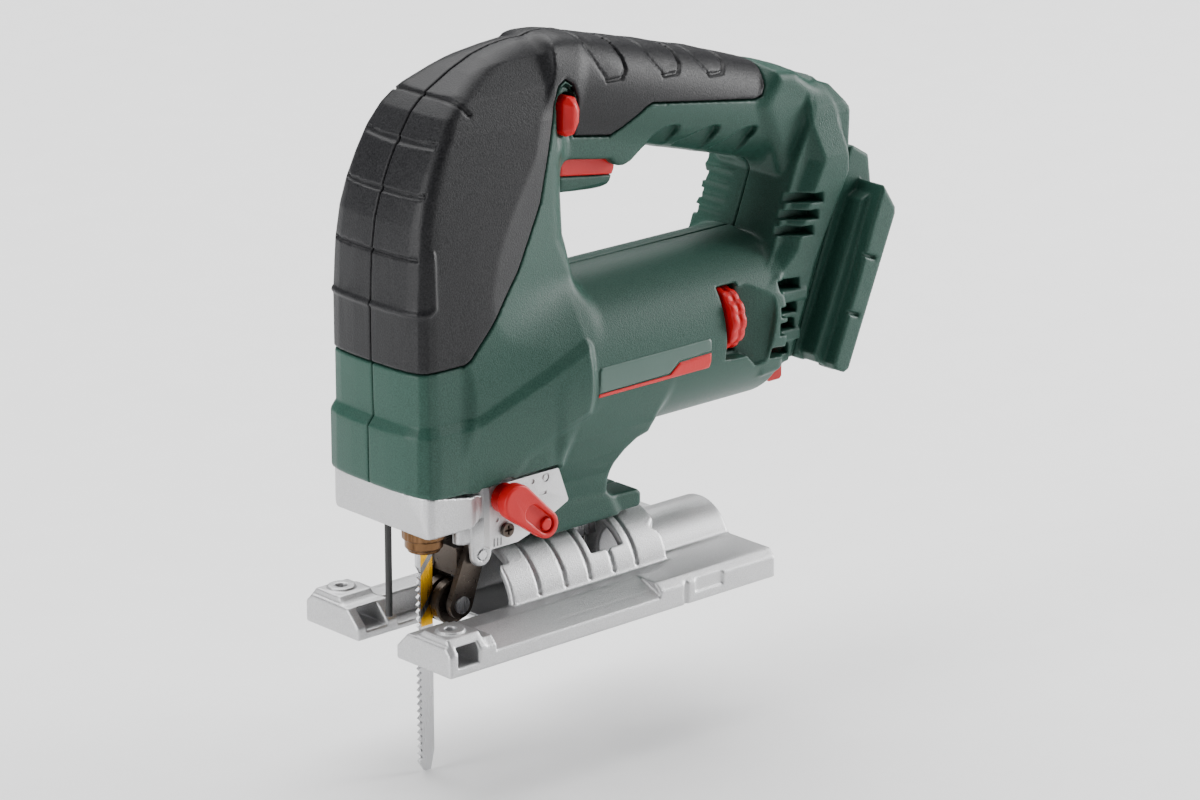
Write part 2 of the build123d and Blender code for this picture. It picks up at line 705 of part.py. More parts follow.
with BuildPart() as counterweight:
    with BuildSketch(cross_plane(GEAR_FRONT - 3.3)):
        with Locations((0, GEAR_Z)):
            Circle(18)
            Circle(6, mode=Mode.SUBTRACT)
        with Locations((-10.5, GEAR_Z)):
            Rectangle(20, 40, mode=Mode.INTERSECT)
    extrude(amount=3.3)
counterweight.part.label = "counterweight"
export_step(counterweight.part, "parts/counterweight.step")

with BuildPart() as gear_axle:
    with BuildSketch(cross_plane(GEAR_FRONT - 0.2)):
        with Locations((0, GEAR_Z)):
            Circle(AXLE_R)
    extrude(amount=BRACKET_BACK - GEAR_FRONT + 0.2)
gear_axle.part.label = "gear_axle"
export_step(gear_axle.part, "parts/gear_axle.step")

with BuildPart() as rotor_shaft:
    with BuildSketch(cross_plane(BRACKET_FRONT - 0.2)):
        with Locations((0, MOTOR_Z)):
            Circle(3)
    extrude(amount=75.2)
    with BuildSketch(cross_plane(GEAR_FRONT - 0.5)):
        with Locations((0, MOTOR_Z)):
            Circle(2)
    extrude(amount=10)
rotor_shaft.part.label = "rotor_shaft"
export_step(rotor_shaft.part, "parts/rotor_shaft.step")

with BuildPart() as drive_pinion:
    with BuildSketch(cross_plane(GEAR_FRONT)):
        with Locations(Location((0, MOTOR_Z), 18)):
            Polygon(*gear_outline(PINION_TEETH, SHIFT), align=None)
            Circle(2, mode=Mode.SUBTRACT)
    extrude(amount=GEAR_BACK - GEAR_FRONT)
drive_pinion.part.label = "drive_pinion"
export_step(drive_pinion.part, "parts/drive_pinion.step")

with BuildPart() as rotor_magnets:
    with BuildSketch(cross_plane(6)):
        with Locations((0, MOTOR_Z)):
            Circle(12.5)
            Circle(3, mode=Mode.SUBTRACT)
    extrude(amount=26)
rotor_magnets.part.label = "rotor_magnets"
export_step(rotor_magnets.part, "parts/rotor_magnets.step")

with BuildPart() as cooling_fan:
    with BuildSketch(cross_plane(-12)):
        with Locations((0, MOTOR_Z)):
            Circle(24)
            Circle(3, mode=Mode.SUBTRACT)
    extrude(amount=1.5)
    with BuildSketch(cross_plane(-12)):
        with Locations((0, MOTOR_Z)):
            Circle(7)
            Circle(3, mode=Mode.SUBTRACT)
            with PolarLocations(15, 11):
                Rectangle(17, 1.4)
    extrude(amount=7)
cooling_fan.part.label = "cooling_fan"
export_step(cooling_fan.part, "parts/cooling_fan.step")

with BuildPart() as stator_core:
    with BuildSketch(cross_plane(4)):
        with Locations((0, MOTOR_Z)):
            Circle(26)
            Circle(13, mode=Mode.SUBTRACT)
            with PolarLocations(18, 6, start_angle=30):
                Rectangle(6, 6.5, mode=Mode.SUBTRACT)
    extrude(amount=30)
stator_core.part.label = "stator_core"
export_step(stator_core.part, "parts/stator_core.step")

with BuildPart() as stator_windings:
    for end_x in (-0.5, 34):
        with BuildSketch(cross_plane(end_x)):
            with Locations((0, MOTOR_Z)):
                Circle(24)
                Circle(14, mode=Mode.SUBTRACT)
        extrude(amount=4.5 if end_x < 0 else 4)
stator_windings.part.label = "stator_windings"
export_step(stator_windings.part, "parts/stator_windings.step")

for bearing_name, bearing_x in [("motor_bearing_front", -23.2), ("motor_bearing_rear", 45.5)]:
    with BuildPart() as bearing:
        with BuildSketch(cross_plane(bearing_x)):
            with Locations((0, MOTOR_Z)):
                Circle(BEARING_R)
                Circle(3 + RUN, mode=Mode.SUBTRACT)
        extrude(amount=6)
        for face_x in (bearing_x, bearing_x + 5.5):
            with BuildSketch(cross_plane(face_x)):
                with Locations((0, MOTOR_Z)):
                    Circle(7.8)
                    Circle(4.8, mode=Mode.SUBTRACT)
            extrude(amount=0.5, mode=Mode.SUBTRACT)
    bearing.part.label = bearing_name
    export_step(bearing.part, f"parts/{bearing_name}.step")

# ---- Plunger, blade clamp and blade ----
for bush_name, bush_z in [("plunger_bush_lower", 67), ("plunger_bush_upper", 146)]:
    with BuildPart() as bush:
        with Locations((BLADE_X, 0, bush_z)):
            Cylinder(BUSH_R, 11)
            Cylinder(ROD_R + RUN, 11, mode=Mode.SUBTRACT)
    bush.part.label = bush_name
    export_step(bush.part, f"parts/{bush_name}.step")

CLAMP_TOP, CLAMP_FLOOR, ROD_TOP = 46.8, 34.0, 168.0

with BuildPart() as plunger_rod:
    with Locations((BLADE_X, 0, (CLAMP_TOP + ROD_TOP) / 2)):
        Cylinder(ROD_R, ROD_TOP - CLAMP_TOP)
    chamfer(plunger_rod.faces().sort_by(Axis.Z)[-1].edges(), 0.5)
plunger_rod.part.label = "plunger_rod"
export_step(plunger_rod.part, "parts/plunger_rod.step")

with BuildPart() as scotch_yoke:
    with Locations((-49.4, 0, GEAR_Z)):
        Box(5.8, 39, 17)
    with Locations((-49.4, 0, GEAR_Z)):
        Box(5.8, 16, 18)
    with Locations((BLADE_X, 0, GEAR_Z)):
        Cylinder(7.2, 18)
        Cylinder(ROD_R, 18, mode=Mode.SUBTRACT)
    with BuildSketch(cross_plane(-49.2)):
        with Locations((0, GEAR_Z)):
            SlotOverall(34.6, 7.6)
    extrude(amount=4, mode=Mode.SUBTRACT)
scotch_yoke.part.label = "scotch_yoke"
export_step(scotch_yoke.part, "parts/scotch_yoke.step")

with BuildPart() as blade_clamp:
    with Locations((BLADE_X, 0, (CLAMP_TOP + CLAMP_FLOOR) / 2)):
        Cylinder(6, CLAMP_TOP - CLAMP_FLOOR)
    with Locations((BLADE_X - 0.2, 0, 39)):
        Box(7.4, 1.5, 13, mode=Mode.SUBTRACT)
blade_clamp.part.label = "blade_clamp"
export_step(blade_clamp.part, "parts/blade_clamp.step")

with BuildPart() as clamp_sleeve:
    with BuildSketch(Plane(origin=(BLADE_X, 0, 0), x_dir=(1, 0, 0), z_dir=(0, -1, 0))):
        Polygon(
            (4.4, 32.3), (6.6, 32.3), (7.4, 33.5), (7.7, 35.2), (8.7, 36.2), (8.7, 45.2), (8.2, 46),
            (7.9, 46), (7.9, 41), (6 + RUN, 41), (6 + RUN, 33.6), (4.4, 33.6),
            align=None,
        )
    revolve(axis=Axis((BLADE_X, 0, 0), (0, 0, 1)))
    with PolarLocations(9.1, 18):
        with Locations((0, 0, 41)):
            Cylinder(0.7, 6.5, mode=Mode.SUBTRACT)
clamp_sleeve.part.label = "clamp_sleeve"
export_step(clamp_sleeve.part, "parts/clamp_sleeve.step")

with BuildPart() as clamp_spring:
    with BuildLine():
        spring_coil = Helix(pitch=1.2, height=3.6, radius=7, center=(BLADE_X, 0, 41.8))
    with BuildSketch(Plane(origin=spring_coil @ 0, z_dir=spring_coil % 0)):
        Circle(0.4)
    sweep()
clamp_spring.part.label = "clamp_spring"
export_step(clamp_spring.part, "parts/clamp_spring.step")

BLADE_BACK, BLADE_TIP_X, TOOTH_PITCH = -53.3, -60.2, 2.7
blade_edge = []
for tooth in range(27):
    tooth_z = -47.0 + tooth * TOOTH_PITCH
    blade_edge.append((BLADE_TIP_X, tooth_z))
    blade_edge.append((BLADE_TIP_X + 1.5, tooth_z + 1.2))
with BuildPart() as blade:
    with BuildSketch(side_plane(0)):
        Polygon(
            (-57.6, -51.2), *blade_edge, (BLADE_TIP_X, 27), (BLADE_TIP_X, 44.5), (BLADE_BACK, 44.5),
            (BLADE_BACK, -44), (-55, -51.2),
            align=None,
        )
    extrude(amount=0.7, both=True)
blade.part.label = "blade"
export_step(blade.part, "parts/blade.step")

# ---- Pendulum: fork, roller and lever ----
with BuildPart() as pendulum_fork:
    for plate_y in (-7.2, 7.2):
        with BuildSketch(side_plane(plate_y)):
            Polygon((-51.3, 13.3), (-43.8, 31.1), (-35.3, 27.7), (-41.6, 9.4), align=None)
            with Locations((PIN_X, PIN_Z)):
                Circle(4.6)
            with Locations((ROLLER_X, ROLLER_Z)):
                Circle(5.2)
                Circle(2.5, mode=Mode.SUBTRACT)
            with Locations((PIN_X, PIN_Z)):
                Circle(2 + RUN, mode=Mode.SUBTRACT)
        extrude(amount=1.2, both=True)
pendulum_fork.part.label = "pendulum_fork"
export_step(pendulum_fork.part, "parts/pendulum_fork.step")

with BuildPart() as pendulum_block:
    with BuildSketch(side_plane(0)):
        Polygon((-46.5, 21.5), (-46.5, 32), (-37, 33.5), (-35.5, 27), (-38.2, 21.5), align=None)
        with Locations((PIN_X, PIN_Z)):
            Circle(2 + RUN, mode=Mode.SUBTRACT)
    extrude(amount=6, both=True)
pendulum_block.part.label = "pendulum_block"
export_step(pendulum_block.part, "parts/pendulum_block.step")

with BuildPart() as pendulum_pin:
    with BuildSketch(side_plane(0)):
        with Locations((PIN_X, PIN_Z)):
            Circle(2)
    extrude(amount=12.3, both=True)
    chamfer(pendulum_pin.edges(), 0.3)
pendulum_pin.part.label = "pendulum_pin"
export_step(pendulum_pin.part, "parts/pendulum_pin.step")

with BuildPart() as roller_axle:
    with BuildSketch(side_plane(0)):
        with Locations((ROLLER_X, ROLLER_Z)):
            Circle(2.5)
    extrude(amount=8.4, both=True)
    for head_y in (-8.4, 9.2):
        with BuildSketch(side_plane(head_y)):
            with Locations((ROLLER_X, ROLLER_Z)):
                Circle(3.2)
        extrude(amount=0.8)
roller_axle.part.label = "roller_axle"
export_step(roller_axle.part, "parts/roller_axle.step")

with BuildPart() as guide_roller:
    with BuildSketch(side_plane(0)):
        with Locations((ROLLER_X, ROLLER_Z)):
            Circle(ROLLER_R)
    extrude(amount=4.8, both=True)
    chamfer(guide_roller.edges(), 0.6)
    with BuildSketch(side_plane(0)):
        with Locations((ROLLER_X, ROLLER_Z)):
            Circle(ROLLER_R + 1)
            Circle(6.6, mode=Mode.SUBTRACT)
    extrude(amount=0.9, both=True, mode=Mode.SUBTRACT)
    with BuildSketch(side_plane(0)):
        with Locations((ROLLER_X, ROLLER_Z)):
            Circle(2.5 + RUN)
    extrude(amount=6, both=True, mode=Mode.SUBTRACT)
guide_roller.part.label = "guide_roller"
export_step(guide_roller.part, "parts/guide_roller.step")

ARM = 18.0
tip_x = LEVER_X + ARM * cos(radians(LEVER_ANGLE))
tip_z = LEVER_Z + ARM * sin(radians(LEVER_ANGLE))
with BuildPart() as pendulum_lever:
    with BuildSketch(side_plane(-24)):
        with Locations((LEVER_X, LEVER_Z)):
            Circle(4.8)
    extrude(amount=5)
    with BuildSketch(side_plane(-29)):
        with Locations((LEVER_X, LEVER_Z)):
            Circle(6.5)
        with Locations((tip_x, tip_z)):
            Circle(5.5)
        make_hull()
    extrude(amount=4.5)
    chamfer(pendulum_lever.faces().sort_by(Axis.Y)[0].edges(), 0.8)
    # oval recess in the thumb pad
    with BuildSketch(side_plane(-32.5)):
        with Locations(Location((tip_x - 1, tip_z + 1), LEVER_ANGLE + 90)):
            SlotOverall(7, 2.6)
    extrude(amount=1.2, mode=Mode.SUBTRACT)
    with BuildSketch(side_plane(-23)):
        with Locations((LEVER_X, LEVER_Z)):
            Circle(3)
    extrude(amount=5.5, mode=Mode.SUBTRACT)
pendulum_lever.part.label = "pendulum_lever"
export_step(pendulum_lever.part, "parts/pendulum_lever.step")

with BuildPart() as cam_shaft:
    with BuildSketch(side_plane(-6)):
        with Locations((LEVER_X, LEVER_Z)):
            Circle(3)
    extrude(amount=22.5)
cam_shaft.part.label = "cam_shaft"
export_step(cam_shaft.part, "parts/cam_shaft.step")

# ---- Trigger, lock, dial and blower slider ----
with BuildPart() as trigger:
    with BuildSketch(side_plane(0)):
        Polygon((1.2, 159.8), (1.2, 168), (27.8, 168), (27.8, 162), (26.4, 156.2), align=None)
    extrude(amount=8, both=True)
trigger.part.label = "trigger"
export_step(trigger.part, "parts/trigger.step")

with BuildPart() as trigger_cap:
    with BuildSketch(side_plane(0)):
        Polygon(
            (1.2, 159.8), (1.2, 155), (2.6, 153.6), (20.5, 151), (24, 151), (26, 153), (26.4, 156.2),
            align=None,
        )
    extrude(amount=8, both=True)
    with BuildSketch(cross_plane(0)):
        Polygon((-8, 162), (-8, 155), (-5.5, 150.5), (5.5, 150.5), (8, 155), (8, 162), align=None)
    extrude(amount=30, mode=Mode.INTERSECT)
trigger_cap.part.label = "trigger_cap"
export_step(trigger_cap.part, "parts/trigger_cap.step")

with BuildPart() as trigger_spring:
    with BuildLine():
        trigger_coil = Helix(pitch=2.4, height=11.4, radius=3, center=(20, 0, 168.5))
    with BuildSketch(Plane(origin=trigger_coil @ 0, z_dir=trigger_coil % 0)):
        Circle(0.4)
    sweep()
trigger_spring.part.label = "trigger_spring"
export_step(trigger_spring.part, "parts/trigger_spring.step")

with BuildPart() as switch_module:
    with Locations((23, 0, 187.4)):
        Box(30, 17, 14)
    chamfer(switch_module.edges().filter_by(Axis.X), 1)
switch_module.part.label = "switch_module"
export_step(switch_module.part, "parts/switch_module.step")

with BuildPart() as lock_button:
    with BuildSketch(side_plane(0)):
        with Locations(Location((LOCK_X, LOCK_Z), 90)):
            SlotOverall(15, 8)
    extrude(amount=20.5, both=True)
    chamfer(lock_button.faces().sort_by(Axis.Y)[0].edges(), 0.8)
    chamfer(lock_button.faces().sort_by(Axis.Y)[-1].edges(), 0.8)
lock_button.part.label = "lock_button"
export_step(lock_button.part, "parts/lock_button.step")

with BuildPart() as speed_dial:
    with BuildSketch(cross_plane(62)):
        with Locations((DIAL_Y, DIAL_Z)):
            Circle(DIAL_R)
            with PolarLocations(DIAL_R + 0.3, 32):
                Circle(0.7, mode=Mode.SUBTRACT)
            Circle(2, mode=Mode.SUBTRACT)
    extrude(amount=7)
speed_dial.part.label = "speed_dial"
export_step(speed_dial.part, "parts/speed_dial.step")

with BuildPart() as dial_potentiometer:
    with BuildSketch(cross_plane(53.5)):
        with Locations((DIAL_Y, DIAL_Z)):
            Circle(5.5)
    extrude(amount=6.5)
    with BuildSketch(cross_plane(60)):
        with Locations((DIAL_Y, DIAL_Z)):
            Circle(2 - RUN)
    extrude(amount=8)
dial_potentiometer.part.label = "dial_potentiometer"
export_step(dial_potentiometer.part, "parts/dial_potentiometer.step")

with BuildPart() as control_module:
    with Locations((87.5, 0, 95)):
        Box(23, 32, 18)
    chamfer(control_module.edges().filter_by(Axis.Y), 2)
control_module.part.label = "control_module"
export_step(control_module.part, "parts/control_module.step")

with BuildPart() as blower_slider:
    with Locations((SLIDER_X, SLIDER_Y, 70.9)):
        Box(7.4, 12, 6.8)
    chamfer(blower_slider.edges().filter_by(Axis.Y), 1)
    with Locations((SLIDER_X, SLIDER_Y, 76.5)):
        Box(3, 4, 6)
    with Locations((SLIDER_X, SLIDER_Y, 80)):
        Box(7, 8, 1.2)
blower_slider.part.label = "blower_slider"
export_step(blower_slider.part, "parts/blower_slider.step")

# Plain panels on both sides of the barrel.
with BuildPart() as label_panels:
    with BuildSketch(cross_plane(4)):
        with Locations((0, MOTOR_Z)):
            Circle(BARREL_R + 0.5)
            Circle(BARREL_R, mode=Mode.SUBTRACT)
        with Locations((0, MOTOR_Z + 0.2)):
            Rectangle(80, 17, mode=Mode.INTERSECT)
    extrude(amount=54)
label_panels.part.label = "label_panels"
export_step(label_panels.part, "parts/label_panels.step")
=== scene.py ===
"""Looks of the jigsaw: moulded shells as distance fields, materials, light and camera.

Lengths in the fields are mm. X runs to the rear, Y to the far side and Z up.
"""

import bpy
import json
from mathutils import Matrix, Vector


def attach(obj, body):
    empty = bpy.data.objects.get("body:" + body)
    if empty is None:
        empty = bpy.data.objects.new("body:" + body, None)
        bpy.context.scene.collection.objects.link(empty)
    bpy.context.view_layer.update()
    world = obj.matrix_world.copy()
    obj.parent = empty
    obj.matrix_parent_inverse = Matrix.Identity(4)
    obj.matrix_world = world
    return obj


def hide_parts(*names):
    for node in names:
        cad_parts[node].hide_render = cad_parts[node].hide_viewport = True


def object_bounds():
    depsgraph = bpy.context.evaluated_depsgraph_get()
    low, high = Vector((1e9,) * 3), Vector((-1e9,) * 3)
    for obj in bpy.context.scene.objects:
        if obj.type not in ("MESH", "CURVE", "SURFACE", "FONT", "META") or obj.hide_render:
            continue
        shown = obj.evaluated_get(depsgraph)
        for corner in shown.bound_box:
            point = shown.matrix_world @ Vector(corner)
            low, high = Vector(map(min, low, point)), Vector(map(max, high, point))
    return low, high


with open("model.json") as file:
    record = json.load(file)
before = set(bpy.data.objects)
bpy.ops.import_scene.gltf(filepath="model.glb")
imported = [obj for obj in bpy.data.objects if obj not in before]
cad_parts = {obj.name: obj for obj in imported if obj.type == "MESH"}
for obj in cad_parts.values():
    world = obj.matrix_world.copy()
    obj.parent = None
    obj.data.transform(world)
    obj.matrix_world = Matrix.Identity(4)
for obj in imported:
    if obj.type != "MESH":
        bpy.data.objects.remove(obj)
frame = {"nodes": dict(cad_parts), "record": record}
cad_box = [list(corner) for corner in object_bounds()]

import json
import math

import bpy
import numpy as np
from mathutils import Vector

MM = 0.001
NODES = frame["nodes"]


# ---------------------------------------------------------------- distance fields
class Grid:
    """Sample points of a box in mm; x, y and z broadcast against each other."""

    def __init__(self, low, high, step, mirrored=False):
        count = [int((b - a) / step) + 2 for a, b in zip(low, high)]
        axes = [np.float32(a) + np.float32(step) * np.arange(n, dtype=np.float32) for a, n in zip(low, count)]
        self.low, self.step, self.mirrored = np.array(low), step, mirrored
        self.x = axes[0][:, None, None]
        self.y = axes[1][None, :, None]
        self.z = axes[2][None, None, :]


def smin(a, b, k):
    """Union of two fields, its inner edge rounded over k."""
    mix = np.clip(0.5 + 0.5 * (b - a) / k, 0, 1)
    return b + (a - b) * mix - k * mix * (1 - mix)


def smax(a, b, k):
    """Intersection of two fields, its edge rounded over k."""
    return -smin(-a, -b, k)


def rounder(points, times=2):
    """The closed outline with its corners cut, Chaikin's way."""
    points = np.array(points, float)
    for _ in range(times):
        after = np.roll(points, -1, axis=0)
        points = np.stack([points * 0.75 + after * 0.25, points * 0.25 + after * 0.75], 1).reshape(-1, 2)
    return points


def outline(u, v, points, soft=0):
    """Signed distance to a closed outline, negative inside."""
    points = rounder(points, soft) if soft else np.array(points, float)
    u, v = np.broadcast_arrays(u, v)
    best = np.full(u.shape, 1e9, np.float32)
    inside = np.zeros(u.shape, bool)
    for (ax, ay), (bx, by) in zip(points, np.roll(points, -1, axis=0)):
        ex, ey = bx - ax, by - ay
        t = np.clip(((u - ax) * ex + (v - ay) * ey) / (ex * ex + ey * ey + 1e-12), 0, 1)
        best = np.minimum(best, (u - ax - t * ex) ** 2 + (v - ay - t * ey) ** 2)
        crosses = ((ay > v) != (by > v)) & (u < ex * (v - ay) / (ey if ey else 1e-12) + ax)
        inside ^= crosses
    return np.where(inside, -1, 1).astype(np.float32) * np.sqrt(best)


def path(u, v, points):
    """Distance to an open line of points."""
    u, v = np.broadcast_arrays(u, v)
    best = np.full(u.shape, 1e9, np.float32)
    for (ax, ay), (bx, by) in zip(points, points[1:]):
        ex, ey = bx - ax, by - ay
        t = np.clip(((u - ax) * ex + (v - ay) * ey) / (ex * ex + ey * ey + 1e-12), 0, 1)
        best = np.minimum(best, (u - ax - t * ex) ** 2 + (v - ay - t * ey) ** 2)
    return np.sqrt(best)


def box(g, low, high, radius=0.0):
    """Signed distance to an upright box, with rounded edges."""
    parts = []
    for axis, a, b in zip((g.x, g.y, g.z), low, high):
        parts.append(np.abs(axis - (a + b) / 2) - ((b - a) / 2 - radius))
    outer = np.sqrt(sum(np.maximum(p, 0) ** 2 for p in parts))
    return outer + np.minimum(np.maximum(np.maximum(parts[0], parts[1]), parts[2]), 0) - radius


def disc(u, v, centre, radius):
    return np.sqrt((u - centre[0]) ** 2 + (v - centre[1]) ** 2) - radius


def between(axis, low, high):
    return np.maximum(low - axis, axis - high)


def carve(shape, region, depth, k=0.5):
    """Lowers the surface by depth where region is negative."""
    return smax(shape, smin(-region, shape + depth, k), k)


def cut(shape, tool, k=0.5):
    return smax(shape, -tool, k)


def surface(field, g):
    """Vertices in mm and quads of the zero surface, by surface nets."""
    f = np.ascontiguousarray(field, dtype=np.float32)
    neg = f < 0
    n = np.zeros(tuple(s - 1 for s in f.shape), np.uint8)
    for i in (0, 1):
        for j in (0, 1):
            for k in (0, 1):
                n += neg[i:i + n.shape[0], j:j + n.shape[1], k:k + n.shape[2]]
    cells = np.argwhere((n > 0) & (n < 8))
    index = np.full(n.shape, -1, np.int32)
    ci, cj, ck = cells.T
    index[ci, cj, ck] = np.arange(len(cells))
    total = np.zeros((len(cells), 3))
    hits = np.zeros(len(cells))
    corners = {(i, j, k): f[ci + i, cj + j, ck + k] for i in (0, 1) for j in (0, 1) for k in (0, 1)}
    for start, a in corners.items():
        for axis in range(3):
            if start[axis]:
                continue
            end = list(start)
            end[axis] = 1
            b = corners[tuple(end)]
            hit = (a < 0) != (b < 0)
            t = np.where(hit, a / np.where(hit, a - b, 1), 0)
            point = np.array(start, float)[None] + t[:, None] * np.eye(3)[axis][None]
            total += point * hit[:, None]
            hits += hit
    verts = (cells + total / hits[:, None]) * g.step + g.low
    quads = []
    for axis in range(3):
        o1, o2 = [a for a in range(3) if a != axis]
        a = neg
        b = np.roll(neg, -1, axis)
        edge = a != b
        keep = [slice(1, -1)] * 3
        keep[axis] = slice(0, -1)
        where = np.argwhere(edge[tuple(keep)])
        where += np.array([0 if s.start == 0 else 1 for s in keep])
        i0 = []
        for d1, d2 in ((1, 1), (0, 1), (0, 0), (1, 0)):
            c = where.copy()
            c[:, o1] -= d1
            c[:, o2] -= d2
            i0.append(index[c[:, 0], c[:, 1], c[:, 2]])
        quad = np.stack(i0, 1)
        flip = a[tuple(where.T)]
        if axis == 1:
            flip = ~flip
        quad[~flip] = quad[~flip][:, ::-1]
        quads.append(quad)
    return verts, np.concatenate(quads)


def piece(name, field, g, finish, body, nodes, keep):
    """A mesh piece from a field, in place of CAD nodes; keep is the share of its faces that stays."""
    verts, quads = surface(field, g)
    if g.mirrored:
        verts[:, 1] *= -1
        quads = quads[:, ::-1]
    mesh = bpy.data.meshes.new(name)
    mesh.vertices.add(len(verts))
    mesh.vertices.foreach_set("co", (verts * MM).astype(np.float32).ravel())
    mesh.loops.add(quads.size)
    mesh.loops.foreach_set("vertex_index", quads.astype(np.int32).ravel())
    mesh.polygons.add(len(quads))
    mesh.polygons.foreach_set("loop_start", np.arange(0, quads.size, 4, dtype=np.int32))
    mesh.update(calc_edges=True)
    mesh.validate()
    obj = bpy.data.objects.new(name, mesh)
    bpy.context.scene.collection.objects.link(obj)
    thin = obj.modifiers.new("thin", "DECIMATE")
    thin.ratio = keep
    graph = bpy.context.evaluated_depsgraph_get()
    slim = bpy.data.meshes.new_from_object(obj.evaluated_get(graph))
    obj.modifiers.clear()
    obj.data = slim
    slim.name = name
    obj.data.polygons.foreach_set("use_smooth", np.ones(len(obj.data.polygons), bool))
    obj.data.materials.clear()
    obj.data.materials.append(finish)
    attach(obj, body)
    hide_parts(*nodes)


# ---------------------------------------------------------------- materials
def material(name, colour, rough, metal=0.0, spots=0.0, grain=600.0, bump=0.15, mottle=0.06, wear=0.0,
             stretch=None, spec=0.5):
    """Shader with a fine grain in bump and roughness, slow colour changes, and worn edges."""
    mat = bpy.data.materials.new(name)
    mat.use_nodes = True
    tree = mat.node_tree
    nodes, links = tree.nodes, tree.links
    shader = nodes["Principled BSDF"]
    shader.inputs["Metallic"].default_value = metal
    shader.inputs["Specular IOR Level"].default_value = spec
    place = nodes.new("ShaderNodeTexCoord").outputs["Object"]
    if stretch:
        mapping = nodes.new("ShaderNodeMapping")
        mapping.inputs["Scale"].default_value = stretch
        links.new(place, mapping.inputs["Vector"])
        place = mapping.outputs["Vector"]

    def noise(scale, detail):
        tex = nodes.new("ShaderNodeTexNoise")
        tex.inputs["Scale"].default_value = scale
        tex.inputs["Detail"].default_value = detail
        links.new(place, tex.inputs["Vector"])
        return tex.outputs["Fac"]

    def spread(value, low, high):
        ramp = nodes.new("ShaderNodeMapRange")
        ramp.inputs["From Min"].default_value = 0.3
        ramp.inputs["From Max"].default_value = 0.7
        ramp.inputs["To Min"].default_value = low
        ramp.inputs["To Max"].default_value = high
        links.new(value, ramp.inputs["Value"])
        return ramp.outputs["Result"]

    def mix(factor, a, b):
        node = nodes.new("ShaderNodeMix")
        node.data_type = "RGBA"
        for socket, value in ((node.inputs["Factor"], factor), (node.inputs["A"], a), (node.inputs["B"], b)):
            if isinstance(value, bpy.types.NodeSocket):
                links.new(value, socket)
            else:
                socket.default_value = (*value, 1) if isinstance(value, tuple) else value
        return node.outputs["Result"]

    fine = noise(grain, 2)
    slow = noise(38, 3)
    light = tuple(min(1, c * (1 + mottle) + mottle * 0.02) for c in colour)
    dark = tuple(c * (1 - mottle) for c in colour)
    tint = mix(spread(slow, 0, 1), dark, light)
    if spots:
        speck = tuple(min(1, c * (1 + spots) + spots * 0.02) for c in colour)
        tint = mix(spread(fine, 0, 1), tint, speck)
    if wear:
        geo = nodes.new("ShaderNodeNewGeometry")
        edge = nodes.new("ShaderNodeMapRange")
        edge.inputs["From Min"].default_value = 0.53
        edge.inputs["From Max"].default_value = 0.62
        edge.inputs["To Max"].default_value = wear
        links.new(geo.outputs["Pointiness"], edge.inputs["Value"])
        tint = mix(edge.outputs["Result"], tint, tuple(min(1, c * 1.6 + 0.05) for c in colour))
    links.new(tint, shader.inputs["Base Color"])
    links.new(spread(fine, rough - 0.06, rough + 0.08), shader.inputs["Roughness"])
    bumper = nodes.new("ShaderNodeBump")
    bumper.inputs["Strength"].default_value = bump
    bumper.inputs["Distance"].default_value = 0.0003
    links.new(fine, bumper.inputs["Height"])
    links.new(bumper.outputs["Normal"], shader.inputs["Normal"])
    return mat


GREEN = material("green_plastic", (0.012, 0.046, 0.033), 0.44, spots=0.4, grain=1900, bump=0.3, wear=0.15,
                 spec=0.24)
GRIP = material("soft_grip", (0.004, 0.004, 0.005), 0.44, spots=0.6, grain=1700, bump=0.3, wear=0.08,
                spec=0.22)
RED = material("red_plastic", (0.52, 0.003, 0.006), 0.40, grain=1200, bump=0.12, wear=0.08, spec=0.3)
BLACK = material("black_plastic", (0.02, 0.02, 0.021), 0.5, grain=1200, bump=0.2)
CAST = material("cast_aluminium", (0.44, 0.44, 0.445), 0.42, metal=0.85, spots=0.3, grain=2300, bump=0.4,
                mottle=0.05, wear=0.5)
STEEL = material("steel", (0.55, 0.55, 0.56), 0.28, metal=1, grain=900, bump=0.08, stretch=(1, 1, 0.12))
DARK = material("dark_steel", (0.045, 0.033, 0.024), 0.32, metal=0.9, grain=800, bump=0.15, wear=0.6)
ROD = material("black_rod", (0.03, 0.03, 0.03), 0.4, metal=0.6, grain=900, bump=0.1)
BRONZE = material("bronze", (0.42, 0.27, 0.13), 0.4, metal=1, grain=900, bump=0.1)
LAMINATION = material("lamination", (0.2, 0.2, 0.21), 0.45, metal=0.9, grain=500, bump=0.3,
                      stretch=(6, 0.2, 0.2))
COPPER = material("copper", (0.6, 0.25, 0.1), 0.35, metal=1, grain=700, bump=0.5)
SPRING = material("spring_steel", (0.5, 0.5, 0.5), 0.3, metal=1, grain=700, bump=0.1)


